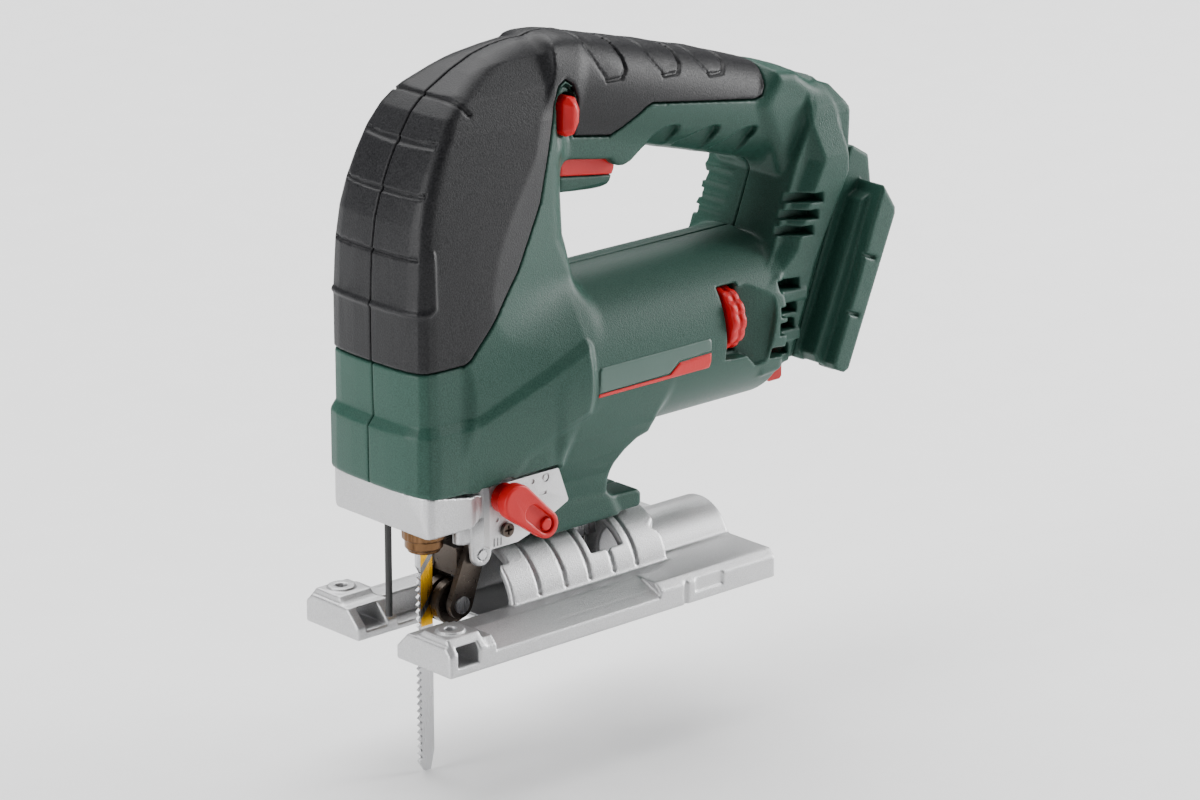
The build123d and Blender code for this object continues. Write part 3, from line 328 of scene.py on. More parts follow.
def blade_material():
    """Bright steel with a painted band on the upper part, crossed by slanted grey stripes."""
    mat = STEEL.copy()
    mat.name = "blade_steel"
    nodes, links = mat.node_tree.nodes, mat.node_tree.links
    place = nodes.new("ShaderNodeTexCoord").outputs["Object"]
    split = nodes.new("ShaderNodeSeparateXYZ")
    links.new(place, split.inputs[0])

    def math_node(kind, a, b):
        node = nodes.new("ShaderNodeMath")
        node.operation = kind
        for socket, value in zip(node.inputs, (a, b)):
            if isinstance(value, bpy.types.NodeSocket):
                links.new(value, socket)
            else:
                socket.default_value = value
        return node.outputs[0]

    x, z = split.outputs["X"], split.outputs["Z"]
    band = math_node("MULTIPLY", math_node("GREATER_THAN", z, 0.004), math_node("GREATER_THAN", x, -0.0588))
    slanted = math_node("SUBTRACT", z, math_node("MULTIPLY", x, 1.2))
    phase = math_node("FRACT", math_node("MULTIPLY", slanted, 62), 0)
    stripe = math_node("MULTIPLY", band, math_node("GREATER_THAN", phase, 0.8))
    below = nodes["Principled BSDF"].inputs["Base Color"].links[0].from_socket
    for factor, colour in ((band, (0.70, 0.36, 0.01, 1)), (stripe, (0.2, 0.2, 0.2, 1))):
        node = nodes.new("ShaderNodeMix")
        node.data_type = "RGBA"
        links.new(factor, node.inputs["Factor"])
        links.new(below, node.inputs["A"])
        node.inputs["B"].default_value = colour
        below = node.outputs["Result"]
    links.new(below, nodes["Principled BSDF"].inputs["Base Color"])
    return mat


COLLAR = material("brown_steel", (0.15, 0.08, 0.038), 0.34, metal=1, grain=800, bump=0.12, wear=0.4)
LABEL = material("label_grey", (0.035, 0.085, 0.066), 0.38, grain=900, bump=0.05)
BLADE = blade_material()

SLOT_MATERIAL = {
    "green_plastic": GREEN, "soft_grip": GRIP, "red_plastic": RED, "black_plastic": BLACK,
    "cast_aluminium": CAST, "steel": STEEL, "dark_steel": DARK, "blade_steel": BLADE,
    "lamination": LAMINATION, "copper": COPPER, "bronze": BRONZE, "label_grey": LABEL, "spring_steel": SPRING,
}
for entry in frame["record"]["subparts"]:
    node = NODES[entry["node"]]
    node.data.materials.clear()
    node.data.materials.append(SLOT_MATERIAL[entry["material_slot"]])
NODES["wire_guard"].data.materials[0] = ROD

# fine edges on the CAD pieces that stay in view
for name in ("pendulum_block", "pendulum_fork", "scale_plate", "blade_clamp", "switch_module"):
    edge = NODES[name].modifiers.new("edge", "BEVEL")
    edge.width, edge.segments, edge.limit_method = 0.0004, 2, "ANGLE"
    edge.angle_limit = math.radians(38)


# ---------------------------------------------------------------- axes, as in the CAD
PLUNGER_X = -56.5
MOTOR_Z, GEAR_Z = 92.3, 116.3
LEVER_X, LEVER_Z = -40.5, 54.5
PIN_X, PIN_Z = -39.5, 29.5
DIAL_X, DIAL_Y, DIAL_Z = 65.5, -22, 98.5
CLAMP_X = 14.5

# ---------------------------------------------------------------- housing
NOSE_HALF = 26.9
BARREL_RADIUS = 32.0
PITCH = math.radians(15)  # fall of the handle towards the rear
WALL = 1.3  # least wall between the chambers and the outside
GRIP_THICK = 2.3
GRIP_SEAT = 2.5  # how far the shell is sunk under the grip
SEAM = 0.16  # each half stops this far from the middle plane
CREST = [(-79.7, 64.5), (-80.0, 84), (-78.8, 87), (-79.5, 107), (-79.4, 128), (-78.6, 146.4), (-76.9, 158),
         (-74, 167.3), (-70.2, 176.2), (-65.8, 184.5), (-60.3, 192.7), (-54, 198.2), (-42, 204.5),
         (-33, 208.2), (-24, 210.5), (-15.3, 211.8), (-0.3, 210.9)]
GRIP_EDGE = [(-95, 106.7), (-59, 106.7), (-56, 108), (-46, 118), (-31.5, 135), (-19.5, 156.5), (-12.6, 184),
             (-11, 190.5), (-8.6, 196), (-5, 197.8), (-1.6, 195.5), (1, 190), (4, 174.9), (20.7, 172.2),
             (25.5, 174.6), (34.6, 181.3), (37, 182.2), (88, 174.8), (91.5, 175.6), (94, 178.6), (95.5, 183),
             (97, 192), (97, 240), (-95, 240)]
NOSE_PLAN = [(-80.2, 0), (-79.7, -9), (-78.4, -18), (-77, -22.6), (-74.6, -25.2), (-71, -26), (-53, -26.9),
             (30, -26.9), (30, 26.9), (-53, 26.9), (-71, 26), (-74.6, 25.2), (-77, 22.6), (-78.4, 18),
             (-79.7, 9)]


def nose(g):
    """Tall front part, its plan rounded in front and slanted behind."""
    side = outline(g.x, g.z, CREST + [(8, 208.5), (2, 195), (-0.2, 186), (-0.2, 98), (-5, 84), (-12.5, 79),
                                      (-12.5, 59.5), (-54, 59.5)])
    upper = outline(g.y, g.z, [(-21, 186), (-25.6, 142), (-27.2, 88), (-27.2, 30), (27.2, 30), (27.2, 88),
                               (25.6, 142), (21, 186), (17.6, 197), (11, 206.5), (5, 211.6), (0, 213),
                               (-5, 211.6), (-11, 206.5), (-17.6, 197)])
    # above the straight part the rounded plan moves back with the crest
    flat = outline(g.x, g.y, NOSE_PLAN)[:, :, 0]
    set_back = np.interp(g.z, (128, 146.4, 158, 167.3, 176.2, 184.5, 192.7, 198.2),
                         (0, 1.2, 2.9, 5.6, 9.4, 13.8, 19.3, 25.6))
    place = np.clip((g.x - set_back - g.x[0]) / g.step, 0, len(flat) - 1.01)[:, 0, :]
    low = place.astype(int)
    part = (place - low)[:, None, :]
    plan = np.moveaxis(flat[low], 2, 1) * (1 - part) + np.moveaxis(flat[low + 1], 2, 1) * part
    # the sides slant inwards behind the bend, more so higher up
    side_y = np.abs(g.y)
    rise = np.clip((g.z - 99) / 30, 0, 1)
    bend = np.interp(g.z, (130, 156, 175), (-54, -50.4, -43.5))
    slant = (0.8 + 7.9 * rise * rise * (3 - 2 * rise)) / (-4 - bend)
    facet = side_y - (NOSE_HALF - np.maximum(g.x - bend, 0) * slant)
    blend = 0.25 + 4 * np.clip((g.x + 22) / 18, 0, 1)
    shape = smax(smax(smax(side, plan, 2.0), upper, 4.0), facet, blend)
    # rounded rear corners of the pillar in front of the finger loop
    reach = np.interp(g.z, (120, 131.5, 141, 156, 168, 177, 186), (16, 10.1, 7.1, 6.4, 6.5, 9, 13))
    return smax(shape, 0.74 * g.x + 0.672 * side_y - reach, 3.0).astype(np.float32)


def stem(g):
    """Neck under the barrel, and its flange over the quadrant."""
    side = outline(g.x, g.z, [(-12.6, 88), (-12.6, 30.4), (24, 30.4), (20.4, 38), (19, 46), (19.6, 52),
                              (22, 57), (26, 60.6), (31, 62.5), (31, 88)])
    cross = outline(g.y, g.z, [(-12.5, 28), (12.5, 28), (13, 40), (16, 49), (21, 58), (25.4, 68), (26.4, 90),
                               (-26.4, 90), (-25.4, 68), (-21, 58), (-16, 49), (-13, 40)])
    flange = outline(g.x, g.z, [(-12.6, 30.4), (35.5, 30.4), (36.6, 31.6), (36.6, 35.6), (35, 37.2),
                                (-12.6, 39)])
    return smin(smax(side, cross, 2.5), smax(flange, np.abs(g.y) - 12.6, 1.2), 3.5)


def handle(g):
    """Oval tube that falls towards the rear, a little thicker in its middle."""
    along = (g.x + 12) * math.cos(PITCH) - (g.z - 197.5) * math.sin(PITCH)
    across = (g.x - 49) * math.sin(PITCH) + (g.z - 181.2) * math.cos(PITCH)
    half_width, half_height = 17.5, 19.0
    swell = 1 - 0.00012 * (along - 66) ** 2 / 4
    r = np.sqrt((g.y / half_width) ** 2 + (across / half_height) ** 2 + 1e-6)
    return np.maximum((r - 1) * (half_width + 0.6 * (swell - 1)), between(along, 2, 126))


def guard(g):
    """Hood over the trigger."""
    side = outline(g.x, g.z, [(-3, 188), (-3, 167.4), (21.5, 163.3), (23.5, 161.2), (26, 160.1),
                              (28.6, 159.8), (31.8, 160.8), (39, 165.6), (44, 168.4), (56, 172), (50, 190)])
    return smax(side, np.abs(g.y) - 12.4, 2.0)


def rear(g):
    """Rear pillar of the loop, and the frame that carries the battery shoe."""
    neck_side = outline(g.x, g.z, [(90, 172), (98, 153), (101.6, 143), (98.6, 131.6), (94, 122), (84, 108),
                                   (104, 96), (124, 128), (130, 150), (129, 168), (108, 182.4), (98, 184)])
    neck = smax(neck_side, np.abs(g.y) - 18.8, 5.0)
    rim = outline(g.x, g.z, [(120, 178), (114.4, 175.4), (111.0, 166), (109.8, 154), (104.9, 139.4),
                             (96.5, 122.7), (89.3, 109.3), (80, 105), (76.5, 99), (76, 86), (77.5, 77),
                             (84, 74.3), (97.3, 76.2), (104.5, 94), (110.4, 111.4), (120.3, 129.8),
                             (127.5, 143.2), (127.2, 152.5), (123.5, 170.5)])
    face = outline(g.x, g.z, [(125, 179), (117, 173), (115, 163.9), (114.3, 148.5), (105.9, 132.6),
                              (100.6, 117.5), (92.5, 110.4), (86.5, 106), (86, 98), (83.2, 80), (84, 70),
                              (99, 70), (106, 92), (112, 110), (122, 128), (131, 142), (131, 154),
                              (127, 172)])
    sloped = face - np.clip(26.6 - np.abs(g.y), 0, 8) * 1.05
    cross = outline(g.y, g.z, [(-26.6, 60), (26.6, 60), (26.6, 150), (21.5, 168), (14, 178.5), (0, 181.5),
                               (-14, 178.5), (-21.5, 168), (-26.6, 150)])
    core_side = outline(g.x, g.z, [(119, 177), (104, 150), (92, 118), (84, 100), (84, 76), (103.2, 75.6),
                                   (131.2, 150.5), (131.5, 166), (126, 174.3)])
    band = smax(smax(rim, sloped, 0.8), cross, 1.2)
    core = smax(core_side, np.maximum(np.abs(g.y) - 22.5, cross), 1.0)
    return smin(smin(neck, band, 2.0), core, 0.8)


def belt(g):
    """How far the lower band of the nose stands out; it climbs towards the barrel."""
    area = outline(g.x, g.z, [(-95, 40), (-95, 87.4), (-55.6, 87.4), (-5.2, 106.8), (-3.0, 104.5),
                              (-3.0, 78.5), (-29.4, 65.4), (-37, 58), (-40, 40)])
    under_edge = -np.maximum(g.z - 87.4, (g.z - 87.4) * 0.928 - (g.x + 55.6) * 0.372)
    fade = np.clip((under_edge - 3) / 20, 0, 1) * np.clip((g.x + 72) / 14, 0, 1)
    return np.clip(-area / 3.4, 0, 1) * 1.9 * (1 - 0.72 * fade) * np.clip((-1.5 - g.x) / 1.5, 0, 1)


def housing(g):
    """Outer surface of the plastic housing, the soft grip included."""
    taper = np.clip((-6 - g.x) * 0.125, 0, 6)
    barrel = smax(disc(g.y, g.z, (0, MOTOR_Z), BARREL_RADIUS - taper), between(g.x, -54, 92), 2.0)
    body = smin(smin(nose(g), stem(g), 5), barrel, 7)
    below_crest = outline(g.x, g.z, [(-200, 211.6), (-0.3, 211), (11, 209.3), (30.6, 205.6), (48.8, 200.9),
                                     (67, 196.3), (85.1, 190.4), (103.3, 184.0), (140, 168), (140, 0),
                                     (-200, 0)])
    body = smin(body, smax(smin(handle(g), guard(g), 4), below_crest, 3), 4.5)
    return smin(body, rear(g), 3) - belt(g)


# Openings and recesses: outlines in x and z, places as (x, z) or (x, z, half height)
FINGERS = [[(37.5, 166.0), (44.2, 171.1), (50.6, 171.9), (53.1, 170.4), (51.4, 165.4), (50, 160), (42, 161)],
           [(55, 163), (57.3, 164.8), (64.5, 168), (70.2, 168.6), (72.3, 167), (69.6, 161.3), (68.5, 152),
            (55, 152)],
           [(73, 158), (75.4, 159.8), (81.4, 164.6), (88.4, 165.3), (90.5, 163.6), (87.2, 159.1), (86, 148),
            (73, 148)]]
SLITS = [(105.8, 136.2), (103.4, 130.2), (100.9, 124.6)]
GAPS = [(96.0, 105.7, 2.1), (94.8, 96.8, 1.9), (93.7, 90.7, 2.4), (90.6, 82.0, 2.1)]
LOUVRES = [(98.2, 101.0), (94.8, 86.5)]
SCREW_HEADS = ((-68, 116), (-68, 160), (-20, 200), (0, 56), (84, 82), (112, 164), (60, 66), (-6, 128))
LOCK_HOLE = [(-8.8, 181), (-7.5, 177.8), (-4.3, 176.7), (-1.1, 177.8), (0.2, 181), (0.2, 189), (-1.1, 192.2),
             (-4.3, 193.3), (-7.5, 192.2), (-8.8, 189)]
LOCK_RECESS = [(-10, 174), (-10.3, 190), (-8.4, 194.8), (-4.8, 196.6), (-1.6, 194.4), (0.6, 188), (2.6, 176),
               (2.6, 172), (-4, 172)]
SCALE_ARCH = [(-52, 50), (-52, 60.4), (-15.6, 61.2), (-12.6, 58.6), (-11.2, 54), (-10.6, 42.7), (-15, 36.8),
              (-30, 30)]
DIAL_POCKET = [(60.8, 110.2), (60.8, 85.2), (66, 84.6), (72, 84.3), (78, 79), (82.5, 79.9), (85.8, 99.5),
               (86.3, 108.5), (80, 110.8), (70, 109.6)]


def prism(g, centre, size, y, tilt=0.08, soft=0.3):
    """A short bar through the side wall, its long way along X and rising by tilt."""
    rise = np.abs((g.z - centre[1]) + tilt * (g.x - centre[0])) - size[1]
    return smax(smax(rise, np.abs(g.x - centre[0]) - size[0], soft), between(g.y, *y), soft)


def teeth(g):
    """Ribs on the inner edge of the rear pillar."""
    height, pitch = 0.7, 5.0
    wave = height * np.abs(np.sin((g.z - 121) * (math.pi / pitch))) - height / 2
    where = np.clip((g.x - 88) / 2, 0, 1) * np.clip((103 - g.x) / 2, 0, 1) * np.clip((-6 - g.y) / 3, 0, 1)
    return wave * where * np.clip((g.z - 124) / 2, 0, 1) * np.clip((154 - g.z) / 2, 0, 1)


def dial_side(d, g):
    """Openings that only the left half has: lever hub, dial and blower slider."""
    d = cut(d, np.maximum(disc(g.x, g.z, (LEVER_X, LEVER_Z), 7.5), g.y + 21), 0.4)
    # open pocket of the dial with a slanted rear wall, and the ledge under it
    pocket = outline(g.x, g.z, DIAL_POCKET)
    wall = (g.y + 26.5) + np.clip((g.x - 74) * 0.28, -1.2, 4)
    d = cut(d, smax(pocket, wall, 0.6), 0.5)
    d = cut(d, box(g, (60.9, -40, 85.7), (70.1, -8, 111.3), 0.3), 0.4)
    return cut(d, box(g, (93.6, -22.8, 70), (98.8, -5.2, 86), 0.2), 0.3)


def details(d, g, left):
    """Scoops, vents, recesses and openings of one half."""
    scoop = 2.8 * np.clip((np.abs(g.y) - 6.5) / 6, 0, 1)
    for points in FINGERS:
        d = carve(d, outline(g.x, g.z, points, 1), scoop, 0.3)
    if not left:
        d = d + teeth(g)
    for centre in SLITS:
        d = cut(d, prism(g, centre, (8.3, 1.75), (-60, -20.2)), 0.3)
    for x, z, half in GAPS:
        d = cut(d, prism(g, (x, z), (6.2, half), (-60, -20)), 0.3)
    for centre in LOUVRES:
        d = smin(d, prism(g, centre, (7.4, 2.1), (-27.5, -23), 0.03), 0.3)
    d = carve(d, outline(g.x, g.z, LOCK_RECESS), 1.5 * np.clip((g.z - 173.5) / 5, 0, 1), 0.5)
    d = cut(d, outline(g.x, g.z, LOCK_HOLE), 0.4)
    d = cut(d, box(g, (0.2, -8.45, 140), (28.75, 8.45, 176.2), 0.4), 0.4)
    d = cut(d, smax(outline(g.x, g.z, SCALE_ARCH), g.y + 14.5, 0.8), 0.6)
    if left:
        return dial_side(d, g)
    for x, z in SCREW_HEADS:
        d = cut(d, np.maximum(disc(g.x, g.z, (x, z), 3.0), g.y + 8), 0.4)
    return d


def chambers(g, outer):
    """Hollow inside for the gears, motor, switch and electronics, kept clear of the outside by the wall."""
    motor = smax(disc(g.y, g.z, (0, MOTOR_Z), 28.4), between(g.x, -20, 88.5), 1)
    room = np.minimum(box(g, (-74, -24, 40), (-14.5, 24, 183), 3), motor)
    room = np.minimum(room, box(g, (74, -17, 80), (101, 17, 108), 2))
    room = np.minimum(room, box(g, (5, -10, 179), (42, 10, 195), 2))
    below = np.maximum(59.5 - g.z, 0) * 3
    room = np.maximum(room, outer + WALL - below)
    # the nose is open below, as wide as the gear case and the plunger's clamp need
    room = np.minimum(room, box(g, (-74, -21, 40), (-33, 21, 66), 0.5))
    room = np.minimum(room, box(g, (-34, -17.3, 40), (-15, 17.3, 66), 0.5))
    bevel_screw = np.maximum(disc(g.x, g.y, (CLAMP_X, 0), 2.7), g.z - 51)
    trigger_stem = box(g, (15, -5, 160), (25, 5, 182), 1)
    return np.minimum(np.minimum(room, trigger_stem), bevel_screw)


# Panel lines of the grip: half width, and the line in x and z
PANEL_LINES = ((21.8, [(-82, 146.8), (-68, 147.5)]), (20.6, [(-80, 165.6), (-62, 171)]),
               (18.5, [(-74, 180.0), (-56, 188)]), (21, [(-60, 204), (-50, 193)]))
TONGUE_TIPS = ((15.1, 193.9), (43.4, 190.8), (66.8, 187.0))


def grip_relief(d, g):
    """Panel lines, bead and thumb tongues of the soft grip."""
    for width, points in PANEL_LINES:
        line = path(g.x, g.z, points) - 0.7
        d = carve(d, smax(line, np.abs(g.y) - width, 0.4), 0.8, 0.25)
    bead = path(g.x, g.z, [(-86, 127.9), (-73.6, 127.9), (-71.6, 129.5), (-71.6, 149)]) - 0.9
    d = d - 0.7 * np.clip(0.5 - bead / 0.9, 0, 1) * np.clip(28 - np.abs(g.y), 0, 1)
    for x, z in TONGUE_TIPS:
        behind = [(x, z), (x + 7.2, z - 0.3), (x + 10, z + 2.2), (x + 10.4, z + 5.5), (x + 8.6, z + 11),
                  (x + 3, z + 22)]
        before = [(x, z), (x - 3.6, z + 6), (x - 9, z + 20)]
        tongue = outline(g.x, g.z, behind + before[:0:-1])
        d = carve(d - 0.4 * np.clip(-tongue / 9, 0, 1), path(g.x, g.z, behind) - 0.6, 0.8, 0.25)
        d = carve(d, path(g.x, g.z, before) - 0.5, 0.3, 0.25)
    return d


STEP = 0.6  # of the housing's grid
SHELL_LOW = (-83, -36, 28.5)


def build_half(side):
    """One housing half with its grip; returns the outer field for the label."""
    left = side == "left"
    g = Grid(SHELL_LOW, (134.5, 1.2, 215), STEP, mirrored=not left)
    outer = housing(g)
    region = outline(g.x, g.z, GRIP_EDGE)
    seam = g.y + SEAM
    grip = smax(grip_relief(outer - 0.25, g), region + 0.3, 0.7)
    grip = np.maximum(grip, -(outer + GRIP_THICK))
    grip = smax(cut(grip, outline(g.x, g.z, LOCK_HOLE), 0.3), seam, 0.7)
    shell = details(carve(outer, region - 0.3, GRIP_SEAT, 0.4), g, left)
    shell = smax(np.maximum(shell, -chambers(g, shell)), seam, 0.7)
    piece(f"shell_{side}", shell, g, GREEN, "housing", [f"housing_{side}"], 0.4)
    piece(f"soft_{side}", grip, g, GRIP, "housing", [f"grip_{side}"], 0.5)
    return outer


LABEL_AREA = [(-1, 84.6), (52.2, 84.6), (52.8, 85.2), (52.8, 94.8), (52.2, 95.4), (-1, 95.4), (-1.5, 94.8),
              (-1.5, 85.2)]
STRIPE = [(-1.5, 84.1), (52.2, 84.1), (52.8, 84.7), (52.8, 89.9), (37, 89.6), (32.6, 85.7), (-1.5, 85.5)]


def build_label(side, outer):
    """Thin plate on the barrel that follows the shell, with a stripe along its lower edge."""
    first_x, first_z = int(76 / STEP), int(48 / STEP)
    corner = (SHELL_LOW[0] + STEP * first_x, SHELL_LOW[1], SHELL_LOW[2] + STEP * first_z)
    g = Grid(corner, (62, -20, 106), STEP, mirrored=side == "right")
    skin = outer[first_x:first_x + g.x.shape[0], :g.y.shape[1], first_z:first_z + g.z.shape[2]]
    thin = np.abs(skin + 0.35) - 0.75
    stripe = outline(g.x, g.z, STRIPE)
    field = np.maximum(np.maximum(thin, outline(g.x, g.z, LABEL_AREA)), 0.5 - stripe)
    piece(f"label_field_{side}", field, g, LABEL, "housing", ["label_panels"], 0.6)
    piece(f"label_stripe_{side}", np.maximum(thin, stripe), g, RED, "housing", ["label_panels"],
          0.6)


for hand in ("left", "right"):
    build_label(hand, build_half(hand))


# ---------------------------------------------------------------- controls
def build_trigger():
    """Red band, and the green tip under it."""
    g = Grid((0, -9.5, 149), (29.5, 9.5, 169.5), 0.4)
    band = outline(g.x, g.z, [(1.4, 168.5), (1.4, 159.8), (26.4, 156.2), (27.4, 158.2), (28.0, 162.5),
                              (27.8, 168.5)])
    band = smax(band, np.abs(g.y) - 7.9, 1.0)
    piece("trigger_band", band, g, RED, "trigger", ["trigger"], 0.5)
    tip = outline(g.x, g.z, [(1.4, 159.6), (1.4, 153.6), (20.5, 150.9), (24, 150.9), (26, 152.4),
                             (26.6, 156)])
    curl = outline(g.y, g.z, [(-7.7, 162), (-7.7, 154.6), (-5.4, 151.6), (0, 149.6), (5.4, 151.6),
                              (7.7, 154.6), (7.7, 162)], 1)
    piece("trigger_tip", smax(tip, curl, 1.2), g, GREEN, "trigger", ["trigger_cap"], 0.5)


def build_lock():
    """Lock button through the handle, its ends faceted."""
    g = Grid((-10, -25, 175.5), (2, 25, 194.5), 0.4)
    facet = outline(g.x, g.z, [(-7.9, 190.2), (-8.2, 180.2), (-6.3, 177.9), (-3.0, 178.1), (-0.5, 182.4),
                               (-0.2, 187.2), (-2.2, 191.6), (-5.8, 192.5)])
    button = smax(facet, np.abs(g.y) - 22.5, 0.8)
    button = smax(button, (facet + np.abs(g.y) - 20.0) * 0.75, 0.6)
    piece("lock_key", button, g, RED, "lock", ["lock_button"], 0.5)


def build_dial():
    """Speed dial with shallow lobes and a groove around it."""
    g = Grid((61, -35.5, 85), (71, -8.5, 112), 0.35)
    turn = np.arctan2(g.z - DIAL_Z, g.y - DIAL_Y)
    reach = np.sqrt((g.y - DIAL_Y) ** 2 + (g.z - DIAL_Z) ** 2)
    lobes = reach - 12.0 + 0.55 * np.abs(np.sin(turn * 6)) ** 4
    wheel = smax(lobes, np.abs(g.x - DIAL_X) - 3.4, 1.2)
    wheel = carve(wheel, np.abs(g.x - DIAL_X) - 0.7, 0.5, 0.3)
    piece("dial_wheel", wheel, g, RED, "dial", ["speed_dial"], 0.5)


def build_lever():
    """Pendulum lever: tapered arm with a trough and a knob, on a hub."""
    g = Grid((-50, -35.5, 33), (-16, -20.6, 64), 0.35)
    lean = math.radians(40)
    run = (g.x - LEVER_X) * math.cos(lean) - (g.z - LEVER_Z) * math.sin(lean)
    wide = (g.x - LEVER_X) * math.sin(lean) + (g.z - LEVER_Z) * math.cos(lean)
    half = 6.6 - 1.7 * np.clip(run / 20, 0, 1)
    arm = np.sqrt(np.maximum(np.maximum(-run, run - 17.5), 0) ** 2 + wide ** 2) - half
    body = smax(arm, between(g.y, -33.4, -28.4), 1.0)
    hub = smax(disc(g.x, g.z, (LEVER_X, LEVER_Z), 5.4), between(g.y, -29, -23.9), 0.3)
    body = smin(body, hub, 0.8)
    trough = np.sqrt(np.maximum(np.maximum(8 - run, run - 16.6), 0) ** 2 + wide ** 2) - 3.3
    body = cut(body, np.maximum(trough, g.y + 31.7), 0.4)
    knob = np.maximum(np.sqrt((run - 17.0) ** 2 + wide ** 2) - 2.3, between(g.y, -33.0, -29))
    bore = np.maximum(disc(g.x, g.z, (LEVER_X, LEVER_Z), 3.02), between(g.y, -29.3, -20))
    body = np.maximum(smin(body, knob, 0.3), -bore)
    piece("lever_arm", body, g, RED, "lever", ["pendulum_lever"], 0.5)


def build_collar():
    """Stepped collar of the quick clamp, fluted around its upper part."""
    g = Grid((-66.5, -10, 31), (-46.5, 10, 47.5), 0.3)
    r = np.sqrt((g.x - PLUNGER_X) ** 2 + g.y ** 2)
    turn = np.arctan2(g.y, g.x - PLUNGER_X)
    flutes = 0.22 * np.clip(np.cos(turn * 20), 0, 1) * np.clip(g.z - 37, 0, 1) * np.clip(45.5 - g.z, 0, 1)
    collar = smax(r - 7.9 + flutes, between(g.z, 37.2, 46), 0.6)
    collar = smin(collar, smax(r - 6.9, between(g.z, 33.6, 42), 0.8), 0.3)
    collar = smin(collar, smax(r - 5.9, between(g.z, 32.3, 36), 0.6), 0.3)
    collar = np.maximum(collar, -np.maximum(r - 6.35, 33.8 - g.z))
    collar = np.maximum(collar, 4.4 - r)
    piece("clamp_collar", collar, g, COLLAR, "sleeve", ["clamp_sleeve"], 0.5)


build_trigger()
build_lock()
build_dial()
build_lever()
build_collar()


# ---------------------------------------------------------------- battery shoe and gear case
def build_shoe():
    """Battery shoe in three steps, with rail slots in its rear face."""
    g = Grid((100, -37.5, 66), (146, 37.5, 153), 0.65)
    lean = math.radians(22.4)
    up = (g.x - 117) * math.sin(lean) + (g.z - 69.5) * math.cos(lean)
    deep = -(g.x - 117) * math.cos(lean) + (g.z - 69.5) * math.sin(lean)
    side_y = np.abs(g.y)
    core = outline(g.x, g.z, [(103.6, 75.6), (117, 69.5), (143.6, 131), (141.5, 146), (133.5, 150.8),
                              (131.6, 150.5)])
    mid = outline(g.x, g.z, [(106.6, 77.7), (108.6, 74), (117, 69.5), (143.2, 131), (139, 136), (130, 132.1)])
    rim = outline(g.x, g.z, [(111.6, 74.0), (112.6, 71.6), (117, 69.6), (119.4, 70.6), (142.4, 125.7),
                             (142.4, 128.5), (136.2, 138.0), (129.6, 121.6), (124.3, 106)])
    shoe = smin(smax(core, side_y - 22.5, 1.0), smax(mid, side_y - 30.5, 1.0), 0.6)
    shoe = smin(shoe, smax(rim, side_y - 36, 1.0), 0.6)
    for height in (22, 44):
        mark = np.maximum(np.abs(up - height) - 0.7, np.abs(deep - 6) - 4.5)
        shoe = cut(shoe, np.maximum(mark, 34.6 - side_y), 0.3)
    channel = np.maximum(side_y - 24, np.abs(deep) - 7)
    under = np.maximum(side_y - 28.5, np.abs(deep - 5.5) - 2.5)
    shoe = cut(shoe, np.maximum(np.minimum(channel, under), between(up, -12, 54)), 0.5)
    terminals = np.maximum(np.maximum(side_y - 15.1, between(up, 25.9, 46.1)), -deep - 4)
    shoe = np.maximum(shoe, -terminals)
    piece("rail_shoe", shoe, g, GREEN, "housing", ["battery_shoe"], 0.6)


CASE_PLAN = [(-79.7, 0), (-79.3, -9), (-78, -18), (-76.9, -23.4), (-75.6, -25.6), (-73.4, -26.3),
             (-57, -26.5), (-54.5, -25.6), (-53, -23.8), (-48, -23.4), (-48, 23.4), (-53, 23.8),
             (-54.5, 25.6), (-57, 26.5), (-73.4, 26.3), (-75.6, 25.6), (-76.9, 23.4), (-78, 18),
             (-79.3, 9)]


